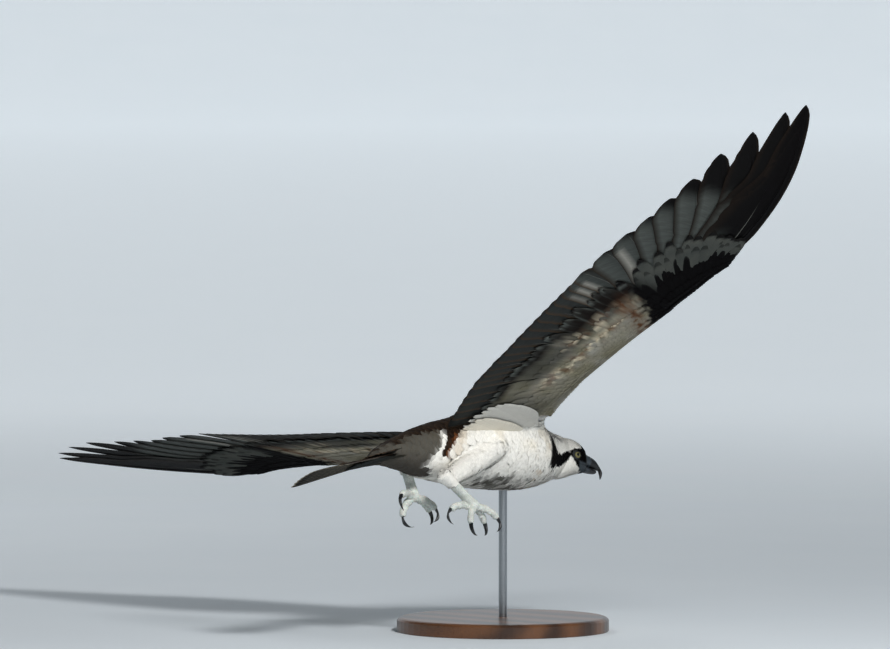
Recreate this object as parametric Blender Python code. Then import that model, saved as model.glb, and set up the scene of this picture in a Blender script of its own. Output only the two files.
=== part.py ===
"""Osprey in flight on a museum stand: faceted solids, one object per named node.

The bird is modelled level (heading -Y, left wing +X, up +Z, shoulders at the
origin), then banked and pitched as one piece and set on its stand.
"""
import math
from dataclasses import dataclass

import bmesh
import bpy
from mathutils import Matrix, Vector
from mathutils.geometry import delaunay_2d_cdt

GAP = 0.0004                     # air left between neighbouring solids
# ---- attitude and stand -------------------------------------------------------
BANK = math.radians(19.2)        # left wing down
PITCH = math.radians(8.9)        # nose down
ROD_POINT = Vector((0.0, -0.030, -0.020))   # level bird: point on the rod's axis
SHOULDER_HEIGHT = 0.277
BASE_RADIUS, BASE_THICK, BASE_EDGE = 0.150, 0.020, 0.004
ROD_RADIUS, ROD_FOOT = 0.006, 0.006
# ---- body: distance ahead of the shoulders, top, bottom, half width --------------
TRUNK = ((0.088, 0.0250, -0.0645, 0.0470), (0.070, 0.0335, -0.0690, 0.0535),
         (0.045, 0.0395, -0.0725, 0.0585), (0.000, 0.0410, -0.0762, 0.0600),
         (-0.045, 0.0300, -0.0785, 0.0565), (-0.085, 0.0150, -0.0780, 0.0500),
         (-0.120, 0.0050, -0.0775, 0.0430), (-0.150, -0.0050, -0.0765, 0.0370),
         (-0.180, -0.0170, -0.0715, 0.0310), (-0.210, -0.0310, -0.0690, 0.0250),
         (-0.235, -0.0440, -0.0680, 0.0180), (-0.252, -0.0540, -0.0695, 0.0090))
# ---- neck: centre (x, ahead, z), half width, half height, turn to the right --------
NECK = ((0.0000, 0.088, -0.0197, 0.0470, 0.0447, 0.0), (-0.0015, 0.104, -0.0192, 0.0410, 0.0400, 4.0),
        (-0.0045, 0.120, -0.0180, 0.0355, 0.0357, 10.0), (-0.0085, 0.134, -0.0173, 0.0305, 0.0312, 15.0),
        (-0.0130, 0.147, -0.0185, 0.0240, 0.0255, 20.0))
# ---- head frame: midpoint of the eyes, turned right and dipped ----------------------
EYES_MID = Vector((-0.0180, -0.156, -0.0206))
HEAD_TURN, HEAD_DIP = math.radians(22.0), math.radians(8.0)
HEAD = ((-0.0400, 0.0060, -0.0230, 0.0120), (-0.0345, 0.0165, -0.0310, 0.0205),
        (-0.0240, 0.0245, -0.0338, 0.0250), (-0.0110, 0.0275, -0.0302, 0.0250),
        (0.0000, 0.0258, -0.0252, 0.0222), (0.0080, 0.0227, -0.0220, 0.0182),
        (0.0145, 0.0178, -0.0202, 0.0144), (0.0200, 0.0112, -0.0186, 0.0110))
EYE_SIDE, EYE_BACK, EYE_DROP, EYE_RADIUS = 0.0150, 0.0012, 0.0016, 0.0080
BILL_START = 0.0200
# ---- legs: level-bird points ------------------------------------------------------
KNEE = (Vector((-0.043, 0.033, -0.033)), Vector((0.043, 0.044, -0.030)))
HEEL = (Vector((-0.035, 0.138, -0.090)), Vector((0.036, 0.143, -0.047)))
FOOT = (Vector((-0.035, 0.089, -0.1255)), Vector((0.035, 0.134, -0.096)))
TOE_LENGTHS = (0.035, 0.039, 0.037, 0.041)      # inner, middle, outer, hind
CLAW_LENGTH = 0.027
# ---- wings, all angles in degrees ---------------------------------------------------
SHOULDER_OUT = 0.055
HAND_LENGTH = 0.115
PRIMARY_ANGLES = (63.3, 55.4, 47.9, 41.8, 35.8, 29.7, 23.2, 16.9, 12.8, 12.4)
PRIMARY_LENGTHS = (0.206, 0.217, 0.226, 0.244, 0.269, 0.309, 0.340, 0.360, 0.365, 0.319)
PRIMARY_ROOTS = (0.002, 0.014, 0.026, 0.038, 0.050, 0.063, 0.077, 0.090, 0.101, 0.110)
SECONDARIES = 20


def smooth(t: float) -> float:
    """Ease from 0 to 1 with level ends."""
    t = min(1.0, max(0.0, t))
    return t * t * (3.0 - 2.0 * t)


def blend(x: float, *knots: tuple[float, float]) -> float:
    """Straight-line table lookup."""
    for (x0, y0), (x1, y1) in zip(knots, knots[1:]):
        if x <= x1:
            return y0 + (y1 - y0) * max(0.0, (x - x0)) / (x1 - x0)
    return knots[-1][1]


# ------------------------------------------------------------------ mesh helpers
def make(name: str, verts: list, faces: list) -> bpy.types.Object:
    """Make a mesh object with outward normals."""
    mesh = bpy.data.meshes.new(name)
    mesh.from_pydata([tuple(v) for v in verts], [], faces)
    bm = bmesh.new()
    bm.from_mesh(mesh)
    bmesh.ops.recalc_face_normals(bm, faces=bm.faces)
    bm.to_mesh(mesh)
    bm.free()
    obj = bpy.data.objects.new(name, mesh)
    bpy.context.collection.objects.link(obj)
    return obj


def loft(name: str, rings: list[list[Vector]]) -> bpy.types.Object:
    """Close a stack of equal rings with flat ends."""
    n = len(rings[0])
    verts = [v for ring in rings for v in ring]
    faces = []
    for i in range(len(rings) - 1):
        for j in range(n):
            a, b = i * n + j, i * n + (j + 1) % n
            faces.append((a, b, b + n, a + n))
    faces.append(tuple(reversed(range(n))))
    faces.append(tuple(range((len(rings) - 1) * n, len(rings) * n)))
    return make(name, verts, faces)


def oval(centre: Vector, side: Vector, up: Vector, half_w: float, half_h: float,
         count: int, power: float = 2.0) -> list[Vector]:
    """Ring of points on a superellipse."""
    ring = []
    for k in range(count):
        a = math.tau * (k + 0.5) / count
        c, s = math.cos(a), math.sin(a)
        x = math.copysign(abs(c) ** (2.0 / power), c) * half_w
        y = math.copysign(abs(s) ** (2.0 / power), s) * half_h
        ring.append(centre + side * x + up * y)
    return ring


def tube(name: str, points: list[Vector], radii: list[tuple[float, float]], count: int,
         up: Vector) -> bpy.types.Object:
    """Loft along a path; each ring is square to the path, half sizes (side, up)."""
    rings = []
    for i, p in enumerate(points):
        a, b = points[max(0, i - 1)], points[min(len(points) - 1, i + 1)]
        ahead = (b - a).normalized()
        side = ahead.cross(up).normalized()
        rings.append(oval(p, side, side.cross(ahead), radii[i][0], radii[i][1], count))
    return loft(name, rings)


def cylinder(name: str, radius: float, z0: float, z1: float, count: int = 32) -> bpy.types.Object:
    """Upright cylinder on the Z axis."""
    return loft(name, [oval(Vector((0, 0, z)), Vector((1, 0, 0)), Vector((0, 1, 0)), radius,
                            radius, count) for z in (z0, z1)])


def swollen(obj: bpy.types.Object, by: float = GAP) -> bpy.types.Object:
    """Copy of a solid grown along its normals."""
    mesh = obj.data.copy()
    grown = bpy.data.objects.new(obj.name + "_cut", mesh)
    bpy.context.collection.objects.link(grown)
    normals = [v.normal.copy() for v in mesh.vertices]
    for v, n in zip(mesh.vertices, normals):
        v.co += n * by * 1.15
    return grown


def boolean(obj: bpy.types.Object, tool: bpy.types.Object, kind: str = "DIFFERENCE") -> None:
    """Apply an exact boolean and drop the tool."""
    tool.display_type = "WIRE"
    tool.hide_render = True
    mod = obj.modifiers.new("cut", "BOOLEAN")
    mod.operation, mod.object, mod.solver = kind, tool, "EXACT"
    bpy.context.view_layer.update()
    result = bpy.data.meshes.new_from_object(
        obj.evaluated_get(bpy.context.evaluated_depsgraph_get()))
    obj.modifiers.clear()
    obj.data = result
    bpy.data.objects.remove(tool, do_unlink=True)


def islands(obj: bpy.types.Object) -> list[bpy.types.Object]:
    """Split an object into its loose solids, largest first."""
    bm = bmesh.new()
    bm.from_mesh(obj.data)
    left, groups = set(bm.verts), []
    while left:
        seed = left.pop()
        group, queue = {seed}, [seed]
        while queue:
            for e in queue.pop().link_edges:
                for v in e.verts:
                    if v in left:
                        left.discard(v)
                        group.add(v)
                        queue.append(v)
        groups.append(group)
    out = []
    for group in sorted(groups, key=len, reverse=True):
        index = {v: i for i, v in enumerate(group)}
        faces = [tuple(index[v] for v in f.verts) for f in bm.faces if f.verts[0] in index]
        out.append(make(obj.name, [v.co.copy() for v in group], faces))
    bm.free()
    bpy.data.objects.remove(obj, do_unlink=True)
    return out


def keep_largest(obj: bpy.types.Object, name: str) -> bpy.types.Object:
    """Keep the largest loose solid only."""
    parts = islands(obj)
    for spare in parts[1:]:
        bpy.data.objects.remove(spare, do_unlink=True)
    parts[0].name = name
    return parts[0]


# ------------------------------------------------------------------ wings
@dataclass(frozen=True)
class Wing:
    """A spread wing; plan coordinates are (out from the shoulder, back)."""

    side: int
    arm_length: float
    arm_sweep: float
    hand_sweep: float
    arm_rise: float
    hand_rise: float
    tip_rise: float
    arm_twist: float
    hand_twist: float
    spread: float
    reach: float
    bends: tuple = (0.20, 0.20, 0.45, 0.40)     # where the slope changes, and over what run

    @property
    def hand_axis(self) -> Vector:
        """Plan direction of the hand bones."""
        a = math.radians(self.hand_sweep)
        return Vector((math.cos(a), math.sin(a)))

    @property
    def wrist(self) -> Vector:
        """Plan position of the wrist."""
        a = math.radians(self.arm_sweep)
        return Vector((math.cos(a), math.sin(a))) * self.arm_length

    @property
    def elbow(self) -> Vector:
        """Plan position of the elbow."""
        w = self.wrist
        return w * 0.44 + Vector((-w.y, w.x)).normalized() * 0.048

    def primary(self, k: int) -> tuple[Vector, float, float]:
        """Root, direction and length of a primary, 0 at the wrist."""
        h = self.hand_axis
        root = self.wrist + h * PRIMARY_ROOTS[k] + Vector((-h.y, h.x)) * 0.012
        angle = math.radians(self.hand_sweep + PRIMARY_ANGLES[k] * self.spread)
        return root, angle, PRIMARY_LENGTHS[k] * self.reach

    def secondary(self, k: int) -> tuple[Vector, float, float]:
        """Root, direction and length of a secondary, 0 at the wrist."""
        t = (k + 0.6) / SECONDARIES
        wrist = self.wrist + Vector((0.0, 0.012))
        if t < 0.72:
            root = wrist.lerp(self.elbow, t / 0.72)
        else:
            root = self.elbow.lerp(Vector((0.02, 0.03)), (t - 0.72) / 0.28)
        first, last = self.hand_sweep + 73.0, 106.0
        angle = math.radians(first + (last - first) * smooth(t * 1.15))
        return root, angle, blend(t, (0, 0.196), (0.12, 0.184), (0.35, 0.171), (0.5, 0.164),
                                  (0.6, 0.157), (0.7, 0.148), (0.9, 0.121), (1, 0.1065))

    @staticmethod
    def quill(root: Vector, angle: float, length: float, bend: float, steps: int) -> list:
        """Shaft points with their directions."""
        out, p = [], root.copy()
        for i in range(steps + 1):
            a = angle + bend * (i / steps - 0.3)
            d = Vector((math.cos(a), math.sin(a)))
            if i:
                p = p + d * (length / steps)
            out.append((p.copy(), d))
        return out

    def vane(self, quill: tuple, outer: float, inner: float, bend: float) -> list[Vector]:
        """Outline of one feather in plan."""
        pts = self.quill(*quill, bend, 8)
        lead, trail = [], []
        for i, (p, d) in enumerate(pts):
            t = i / 8
            w_out = outer * blend(t, (0, 0.6), (0.3, 1.0), (0.75, 1.0), (0.9, 0.8), (1, 0.25))
            w_in = inner * blend(t, (0, 0.6), (0.4, 1.0), (0.82, 1.0), (0.93, 0.78), (1, 0.22))
            n = Vector((d.y, -d.x))
            lead.append(p + n * w_out)
            trail.append(p - n * w_in)
        return lead + trail[::-1]

    def leading_edge(self) -> list[Vector]:
        """Front outline from the body to the first quills."""
        w, h = self.wrist, self.hand_axis
        n, hn = Vector((-w.y, w.x)).normalized(), Vector((-h.y, h.x))
        hand = w + h * HAND_LENGTH
        return [Vector((-0.030, -0.068)), Vector((0.004, -0.068)), Vector((0.020, -0.053)),
                w * 0.18 - n * 0.040, w * 0.40 - n * 0.025, w * 0.7 - n * 0.0215,
                w * 0.86 - n * 0.0215, w - n * 0.019, w + h * 0.05 - hn * 0.0145, hand - hn * 0.004]

    def outline(self) -> list[Vector]:
        """Silhouette of the whole wing in plan: the union of its feathers."""
        polys = []
        ends = []
        for k in range(9, -1, -1):
            quill = self.primary(k)
            slim = blend(k, (4, 0.0), (6, 1.0), (9, 1.0))
            polys.append(self.vane(quill, 0.014 - 0.004 * slim, 0.034, 0.30))
            ends.append(self.quill(*quill, 0.30, 8)[4][0])
        for k in range(SECONDARIES):
            quill = self.secondary(k)
            polys.append(self.vane(quill, 0.016, 0.022, 0.15))
            ends.append(self.quill(*quill, 0.15, 8)[5][0])
        polys.append(self.leading_edge() + ends + [Vector((-0.030, 0.110))])
        coords, faces = [], []
        for poly in polys:
            faces.append(list(range(len(coords), len(coords) + len(poly))))
            coords += poly
        verts, _, tris, _, _, _ = delaunay_2d_cdt(coords, [], faces, 1, 1e-5)
        return thin_out(border(verts, tris), 0.0007)

    def place(self, p: Vector, lift: float = 0.0) -> Vector:
        """Map a plan point and a height off the wing's mid sheet to the level bird."""
        steps = 40
        x = z = 0.0
        du = p.x / steps
        for i in range(steps):
            r = math.radians(self.rise((i + 0.5) * du))
            x += math.cos(r) * du
            z += math.sin(r) * du
        r = math.radians(self.rise(p.x))
        twist = math.radians(self.arm_twist + (self.hand_twist - self.arm_twist)
                             * smooth((p.x - 0.1) / 0.5))
        droop = 0.75 * max(0.0, p.y - 0.08) ** 2 * (1.0 - smooth((p.x - 0.38) / 0.15))
        up = math.sin(twist) * p.y + lift - droop
        return Vector((self.side * (SHOULDER_OUT + x - math.sin(r) * up),
                       math.cos(twist) * p.y, z + math.cos(r) * up))

    def rise(self, u: float) -> float:
        """Slope of the wing upwards at a distance out, in degrees."""
        wrist, run, tip, tip_run = self.bends
        return (self.arm_rise + (self.hand_rise - self.arm_rise) * smooth((u - wrist) / run)
                + (self.tip_rise - self.hand_rise) * smooth((u - tip) / tip_run))

    def half_thickness(self, p: Vector) -> float:
        """Half the wing's thickness: full over the bones, thin in the vanes."""
        w, h = self.wrist, self.hand_axis
        if p.x < w.x:
            t = max(0.0, p.x) / w.x
            depth = p.y - (w.y * t - 0.026)
            return blend(depth, (0, 0.0030), (0.025, 0.0115 - 0.003 * t), (0.06, 0.0085 - 0.003 * t),
                         (0.12, 0.0022), (0.2, 0.0008))
        along = (p - w).dot(h)
        depth = (p - w).dot(Vector((-h.y, h.x))) + 0.012
        fade = blend(along, (0, 1.0), (0.12, 0.55), (0.22, 0.12), (0.3, 0.0))
        return 0.0007 + fade * blend(depth, (0, 0.002), (0.02, 0.0075), (0.05, 0.0035), (0.1, 0.0))

    def solid(self, name: str) -> bpy.types.Object:
        """Closed sheet with thickness over the plan outline."""
        edge = self.outline()
        lo_u, hi_u = min(p.x for p in edge), max(p.x for p in edge)
        lo_v, hi_v = min(p.y for p in edge), max(p.y for p in edge)
        inner = []
        u = lo_u + 0.02
        while u < hi_u:
            v = lo_v + 0.01
            while v < hi_v:
                p = Vector((u, v))
                if inside(p, edge) and min(away(p, edge), 1.0) > 0.008:
                    inner.append(p)
                v += 0.021
            u += 0.036
        coords = edge + inner
        verts, _, tris, _, _, _ = delaunay_2d_cdt(coords, [], [list(range(len(edge)))], 1, 1e-6)
        rim = set(border_indices(tris))
        top, bottom = [], []
        for i, p in enumerate(verts):
            half = self.half_thickness(p)
            half = min(half, 0.0030 if p.y < 0 else 0.0006) if i in rim else half
            top.append(self.place(p, half))
            bottom.append(self.place(p, -half if half < 0.0012 else -0.0012 - 0.45 * (half - 0.0012)))
        n = len(verts)
        faces = [tuple(t) for t in tris] + [tuple(i + n for i in reversed(t)) for t in tris]
        ring = border_indices(tris)
        for a, b in zip(ring, ring[1:] + ring[:1]):
            faces.append((b, a, a + n, b + n))
        return make(name, top + bottom, faces)

    def cut_sheet(self) -> bpy.types.Object:
        """Thin curved wall across the wing at the wrist."""
        start = self.wrist + Vector((-0.012, -0.040))
        a = self.quill(*self.primary(0), 0.30, 8)[8][0]
        b = self.quill(*self.secondary(0), 0.15, 8)[8][0]
        stop = (a + b) / 2
        end = start + (stop - start) * 1.25
        n = Vector((stop.y - start.y, start.x - stop.x)).normalized() * GAP * 0.6
        rings = []
        for i in range(9):
            p = start.lerp(end, i / 8)
            rings.append([self.place(p - n, -0.06), self.place(p + n, -0.06),
                          self.place(p + n, 0.06), self.place(p - n, 0.06)])
        return loft("sheet", rings)


def border_indices(tris: list) -> list[int]:
    """Vertex loop round a triangulated patch, the longest one."""
    seen = {}
    for t in tris:
        for a, b in zip(t, list(t[1:]) + [t[0]]):
            if (b, a) in seen:
                del seen[(b, a)]
            else:
                seen[(a, b)] = True
    step = {}
    for a, b in seen:
        step.setdefault(a, []).append(b)
    best = []
    while step:
        start = next(iter(step))
        loop, at = [start], start
        while True:
            options = step.get(at)
            if not options:
                break
            nxt = options.pop()
            if not options:
                del step[at]
            if nxt == start:
                break
            loop.append(nxt)
            at = nxt
        if len(loop) > len(best):
            best = loop
    return best


def border(verts: list, tris: list) -> list[Vector]:
    """Outline points of a triangulated patch."""
    return [verts[i].copy() for i in border_indices(tris)]


def thin_out(loop: list[Vector], tolerance: float) -> list[Vector]:
    """Drop loop points nearer than the tolerance to the line through their neighbours."""
    points = list(loop)
    changed = True
    while changed:
        changed = False
        i = 0
        while i < len(points) and len(points) > 8:
            a, p, b = points[i - 1], points[i], points[(i + 1) % len(points)]
            line = b - a
            far = abs(line.x * (p - a).y - line.y * (p - a).x) / max(1e-9, line.length)
            if (far < tolerance and line.length < 0.035) or (p - a).length < 0.0012:
                points.pop(i)
                changed = True
            i += 1
    return points


def inside(p: Vector, loop: list[Vector]) -> bool:
    """Even-odd test."""
    hit = False
    for a, b in zip(loop, loop[1:] + loop[:1]):
        if (a.y > p.y) != (b.y > p.y) and p.x < (b.x - a.x) * (p.y - a.y) / (b.y - a.y) + a.x:
            hit = not hit
    return hit


def away(p: Vector, loop: list[Vector]) -> float:
    """Distance from a loop."""
    best = 1.0
    for a, b in zip(loop, loop[1:] + loop[:1]):
        ab = b - a
        t = min(1.0, max(0.0, (p - a).dot(ab) / max(1e-12, ab.length_squared)))
        best = min(best, (a + ab * t - p).length)
    return best


RIGHT = Wing(-1, 0.300, -2.2, 3.4, 17.1, 8.7, 37.5, -2.6, 13.9, 0.963, 1.0)
LEFT = Wing(1, 0.298, -6.1, -3.3, 14.3, 4.0, 16.6, 3.7, 11.9, 0.954, 0.985, (0.32, 0.15, 0.38, 0.15))


# ------------------------------------------------------------------ body
def trunk() -> bpy.types.Object:
    """Breast, belly, back and rump."""
    rings = []
    for ahead, top, low, half in TRUNK:
        centre = Vector((0, -ahead, (top + low) / 2))
        rings.append(oval(centre, Vector((1, 0, 0)), Vector((0, 0, 1)), half, (top - low) / 2, 24, 2.15))
    return loft("trunk", rings)


def neck() -> bpy.types.Object:
    """Thick feathered neck bending to the right."""
    rings = []
    for i, (x, ahead, z, half, high, turn) in enumerate(NECK):
        a = math.radians(turn)
        side = Vector((math.cos(a), -math.sin(a), 0))
        centre = Vector((x, -ahead - (GAP if i == 0 else 0), z))
        rings.append(oval(centre, side, Vector((0, 0, 1)), half, high, 24, 2.1))
    return loft("neck", rings)


def head_matrix() -> Matrix:
    """Head frame: x to its left, y back, z up, origin between the eyes."""
    return (Matrix.Translation(EYES_MID) @ Matrix.Rotation(-HEAD_TURN, 4, "Z")
            @ Matrix.Rotation(HEAD_DIP, 4, "X"))


def head() -> bpy.types.Object:
    """Skull with its feathers."""
    m = head_matrix()
    rings = []
    for ahead, top, low, half in HEAD:
        ring = oval(Vector((0, -ahead, (top + low) / 2)), Vector((1, 0, 0)), Vector((0, 0, 1)),
                    half, (top - low) / 2, 24, 2.1)
        rings.append([m @ p for p in ring])
    return loft("head", rings)


def bill(upper: bool) -> bpy.types.Object:
    """One mandible: rings square to a curved line."""
    m = head_matrix()
    if upper:
        line = ((0.0, -0.0006, 0.0098, 0.0099), (0.007, -0.0027, 0.0090, 0.0085),
                (0.0138, -0.0044, 0.0076, 0.0078), (0.0191, -0.0070, 0.0061, 0.0070),
                (0.0229, -0.0108, 0.0046, 0.0046), (0.0247, -0.0148, 0.0034, 0.0034),
                (0.0251, -0.0190, 0.0023, 0.0023), (0.0250, -0.0228, 0.0014, 0.0014),
                (0.0242, -0.0265, 0.0005, 0.0005))
    else:
        line = ((0.0, -0.0150, 0.0080, 0.0037), (0.006, -0.0156, 0.0071, 0.0038),
                (0.011, -0.0159, 0.0058, 0.0037), (0.0155, -0.0163, 0.0042, 0.0029),
                (0.0185, -0.0163, 0.0022, 0.0015))
    centres = [Vector((0, -BILL_START - GAP - s, z)) for s, z, _, _ in line]
    rings = []
    for i, c in enumerate(centres):
        a, b = centres[max(0, i - 1)], centres[min(len(line) - 1, i + 1)]
        ahead = (b - a).normalized() if i else Vector((0, -1, 0))
        side = Vector((1, 0, 0))
        up = side.cross(ahead) * -1.0
        ring = oval(c, side, up, line[i][2], line[i][3], 14, 2.2)
        rings.append([m @ p for p in ring])
    return loft("bill_upper" if upper else "bill_lower", rings)


def ball(name: str, centre: Vector, radius: float) -> bpy.types.Object:
    """Eyeball."""
    bm = bmesh.new()
    bmesh.ops.create_uvsphere(bm, u_segments=14, v_segments=9, radius=radius)
    bmesh.ops.translate(bm, verts=bm.verts, vec=centre)
    mesh = bpy.data.meshes.new(name)
    bm.to_mesh(mesh)
    bm.free()
    obj = bpy.data.objects.new(name, mesh)
    bpy.context.collection.objects.link(obj)
    return obj


def tail() -> bpy.types.Object:
    """Tail held nearly shut: twelve feathers with rounded ends."""
    droop = math.radians(14.5)
    base = Vector((0, 0.195, -0.0500))
    back = Vector((0, math.cos(droop), -math.sin(droop)))
    up = Vector((0, math.sin(droop), math.cos(droop)))
    side = Vector((1, 0, 0))
    edge = [(-0.016, 0.0), (-0.055, 0.157)]
    for k in range(12):
        x = -0.0535 + 0.107 * k / 11
        far = 0.191 - 4.5 * x * x
        for dx, cut in ((-0.0046, 0.006), (-0.0025, 0.0012), (0.0, 0.0), (0.0025, 0.0012),
                        (0.0046, 0.006)):
            if k < 11 or dx < 0.0046:
                edge.append((x + dx, far - cut))
    edge += [(0.055, 0.157), (0.016, 0.0)]
    loop = [Vector(p) for p in edge]
    inner = [Vector((x * (0.25 + 0.75 * v / 0.17), v)) for v in (0.04, 0.08, 0.12, 0.16)
             for x in (-0.034, -0.017, 0.0, 0.017, 0.034)]
    verts, _, tris, _, _, _ = delaunay_2d_cdt(loop + inner, [], [list(range(len(loop)))], 1, 1e-6)
    ring = border_indices(tris)
    rim = set(ring)
    n = len(verts)
    points = []
    for sign in (1, -1):
        for i, p in enumerate(verts):
            thick = blend(p.y, (0, 0.010), (0.05, 0.005), (0.12, 0.002), (0.2, 0.0010))
            thick *= 1.0 - 0.55 * min(1.0, abs(p.x) / 0.055)
            if i in rim:
                thick = min(thick, 0.0016 if p.y < 0.08 else 0.0007)
            crown = -1.6 * p.x * p.x
            points.append(base + side * p.x + back * p.y + up * (crown + sign * thick))
    faces = [tuple(t) for t in tris] + [tuple(i + n for i in reversed(t)) for t in tris]
    faces += [(b, a, a + n, b + n) for a, b in zip(ring, ring[1:] + ring[:1])]
    return make("tail", points, faces)


def thigh(i: int, name: str) -> bpy.types.Object:
    """Feathered shank from the flank to the heel."""
    knee, heel = KNEE[i], HEEL[i]
    start = knee + Vector(((1, -1)[i] * 0.024, -0.030, 0.002))     # sunk in the flank
    pts = [start, knee, knee.lerp(heel, 0.3), knee.lerp(heel, 0.6), knee.lerp(heel, 0.85), heel]
    sizes = [(0.010, 0.010), (0.0172, 0.0180), (0.0190, 0.0184), (0.0170, 0.0170), (0.0134, 0.0140),
             (0.0098, 0.0102)]
    return tube(name, pts, sizes, 16, Vector((0, 0, 1)))


def toe_path(i: int, k: int) -> tuple[list[Vector], list[Vector]]:
    """Centre lines of a toe and of its claw."""
    side = (-1, 1)[i]
    # heading from straight ahead, outwards positive, and how steeply it starts down
    heading, start = ((-22, 12), (10, 4), (163, 34), (-164, -12))[k]
    a = math.radians(heading)
    flat = Vector((side * math.sin(a), -math.cos(a), 0))
    down = Vector((0, 0, -1))
    p = FOOT[i] + flat * 0.002
    toe, steps = [p.copy()], 5
    length = TOE_LENGTHS[k]
    for s in range(steps):
        bend = math.radians(start + 42.0 * (s / (steps - 1)) ** 1.3)
        p = p + (flat * math.cos(bend) + down * math.sin(bend)) * (length / steps)
        toe.append(p.copy())
    claw, pitch = [], math.radians(start + 46.0)
    q = toe[-1] + (flat * math.cos(pitch) + down * math.sin(pitch)) * GAP
    claw.append(q.copy())
    for s in range(6):
        bend = pitch + math.radians(8 + 21.0 * s)
        q = q + (flat * math.cos(bend) + down * math.sin(bend)) * (CLAW_LENGTH / 6)
        claw.append(q.copy())
    return toe, claw


def end_ring(obj_name: str, pts: list[Vector], radii: list, count: int, flat_end: Vector | None,
             flat_start: Vector | None) -> bpy.types.Object:
    """Tube whose end rings can be set square to a given direction."""
    rings = []
    for i, p in enumerate(pts):
        a, b = pts[max(0, i - 1)], pts[min(len(pts) - 1, i + 1)]
        ahead = (b - a).normalized()
        if i == len(pts) - 1 and flat_end is not None:
            ahead = flat_end
        if i == 0 and flat_start is not None:
            ahead = flat_start
        ref = Vector((0, 0, 1)) if abs(ahead.z) < 0.9 else (pts[0] - pts[-1]).normalized()
        side = ahead.cross(ref).normalized()
        if i and side.dot(last) < 0:
            side = -side
        last = side
        rings.append(oval(p, side, side.cross(ahead), radii[i], radii[i], count))
    return loft(obj_name, rings)


def foot(i: int, tag: str) -> list[bpy.types.Object]:
    """Bare shank, four toes joined to it, and the claws."""
    heel, joint = HEEL[i], FOOT[i]
    along = (joint - heel).normalized()
    shank = end_ring("foot_" + tag, [heel - along * 0.006, heel.lerp(joint, 0.3),
                                     heel.lerp(joint, 0.7), joint + along * 0.002],
                     [0.0088, 0.0078, 0.0078, 0.0084], 12, None, None)
    out = []
    for k in range(4):
        toe, claw = toe_path(i, k)
        tip = (claw[1] - claw[0]).normalized()
        body = end_ring("toe", toe, [0.0064, 0.0056, 0.0052, 0.0050, 0.0048, 0.0042], 10, tip, None)
        boolean(shank, body, "UNION")
        radii = [0.0036, 0.0034, 0.0029, 0.0023, 0.0017, 0.0011, 0.0004]
        out.append(end_ring(f"claw_{tag}_{k + 1}", claw, radii, 8, None, tip))
    return [keep_largest(shank, "foot_" + tag)] + out


# ------------------------------------------------------------------ assembly
def attitude() -> Matrix:
    """Level bird to its place on the stand."""
    turn = Matrix.Rotation(PITCH, 4, "X") @ Matrix.Rotation(BANK, 4, "Y")
    shoulders = turn @ -ROD_POINT
    return Matrix.Translation((shoulders.x, shoulders.y, SHOULDER_HEIGHT)) @ turn


COLOURS = {"feather": (0.10, 0.075, 0.055, 1), "white": (0.80, 0.78, 0.72, 1),
           "horn": (0.02, 0.02, 0.022, 1), "scale": (0.50, 0.52, 0.48, 1),
           "eye": (0.85, 0.62, 0.06, 1), "wood": (0.20, 0.10, 0.05, 1), "steel": (0.45, 0.46, 0.48, 1)}


def paint(obj: bpy.types.Object, kind: str) -> None:
    """Give the object a material of its own and smooth shading."""
    mat = bpy.data.materials.new(obj.name + "_mat")
    mat.use_nodes = True
    shader = mat.node_tree.nodes["Principled BSDF"]
    shader.inputs["Base Color"].default_value = COLOURS[kind]
    shader.inputs["Roughness"].default_value = 0.35 if kind in ("horn", "eye", "steel") else 0.8
    shader.inputs["Metallic"].default_value = 1.0 if kind == "steel" else 0.0
    obj.data.materials.clear()
    obj.data.materials.append(mat)
    for face in obj.data.polygons:
        face.use_smooth = True
    obj.data.set_sharp_from_angle(angle=math.radians(35))


def tidy(obj: bpy.types.Object) -> None:
    """Merge doubles and rebuild outward normals."""
    bm = bmesh.new()
    bm.from_mesh(obj.data)
    bmesh.ops.remove_doubles(bm, verts=bm.verts, dist=1e-5)
    bmesh.ops.dissolve_degenerate(bm, edges=bm.edges, dist=1e-5)
    bmesh.ops.triangulate(bm, faces=[f for f in bm.faces if len(f.verts) > 4])
    bmesh.ops.recalc_face_normals(bm, faces=bm.faces)
    bm.to_mesh(obj.data)
    bm.free()


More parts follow.
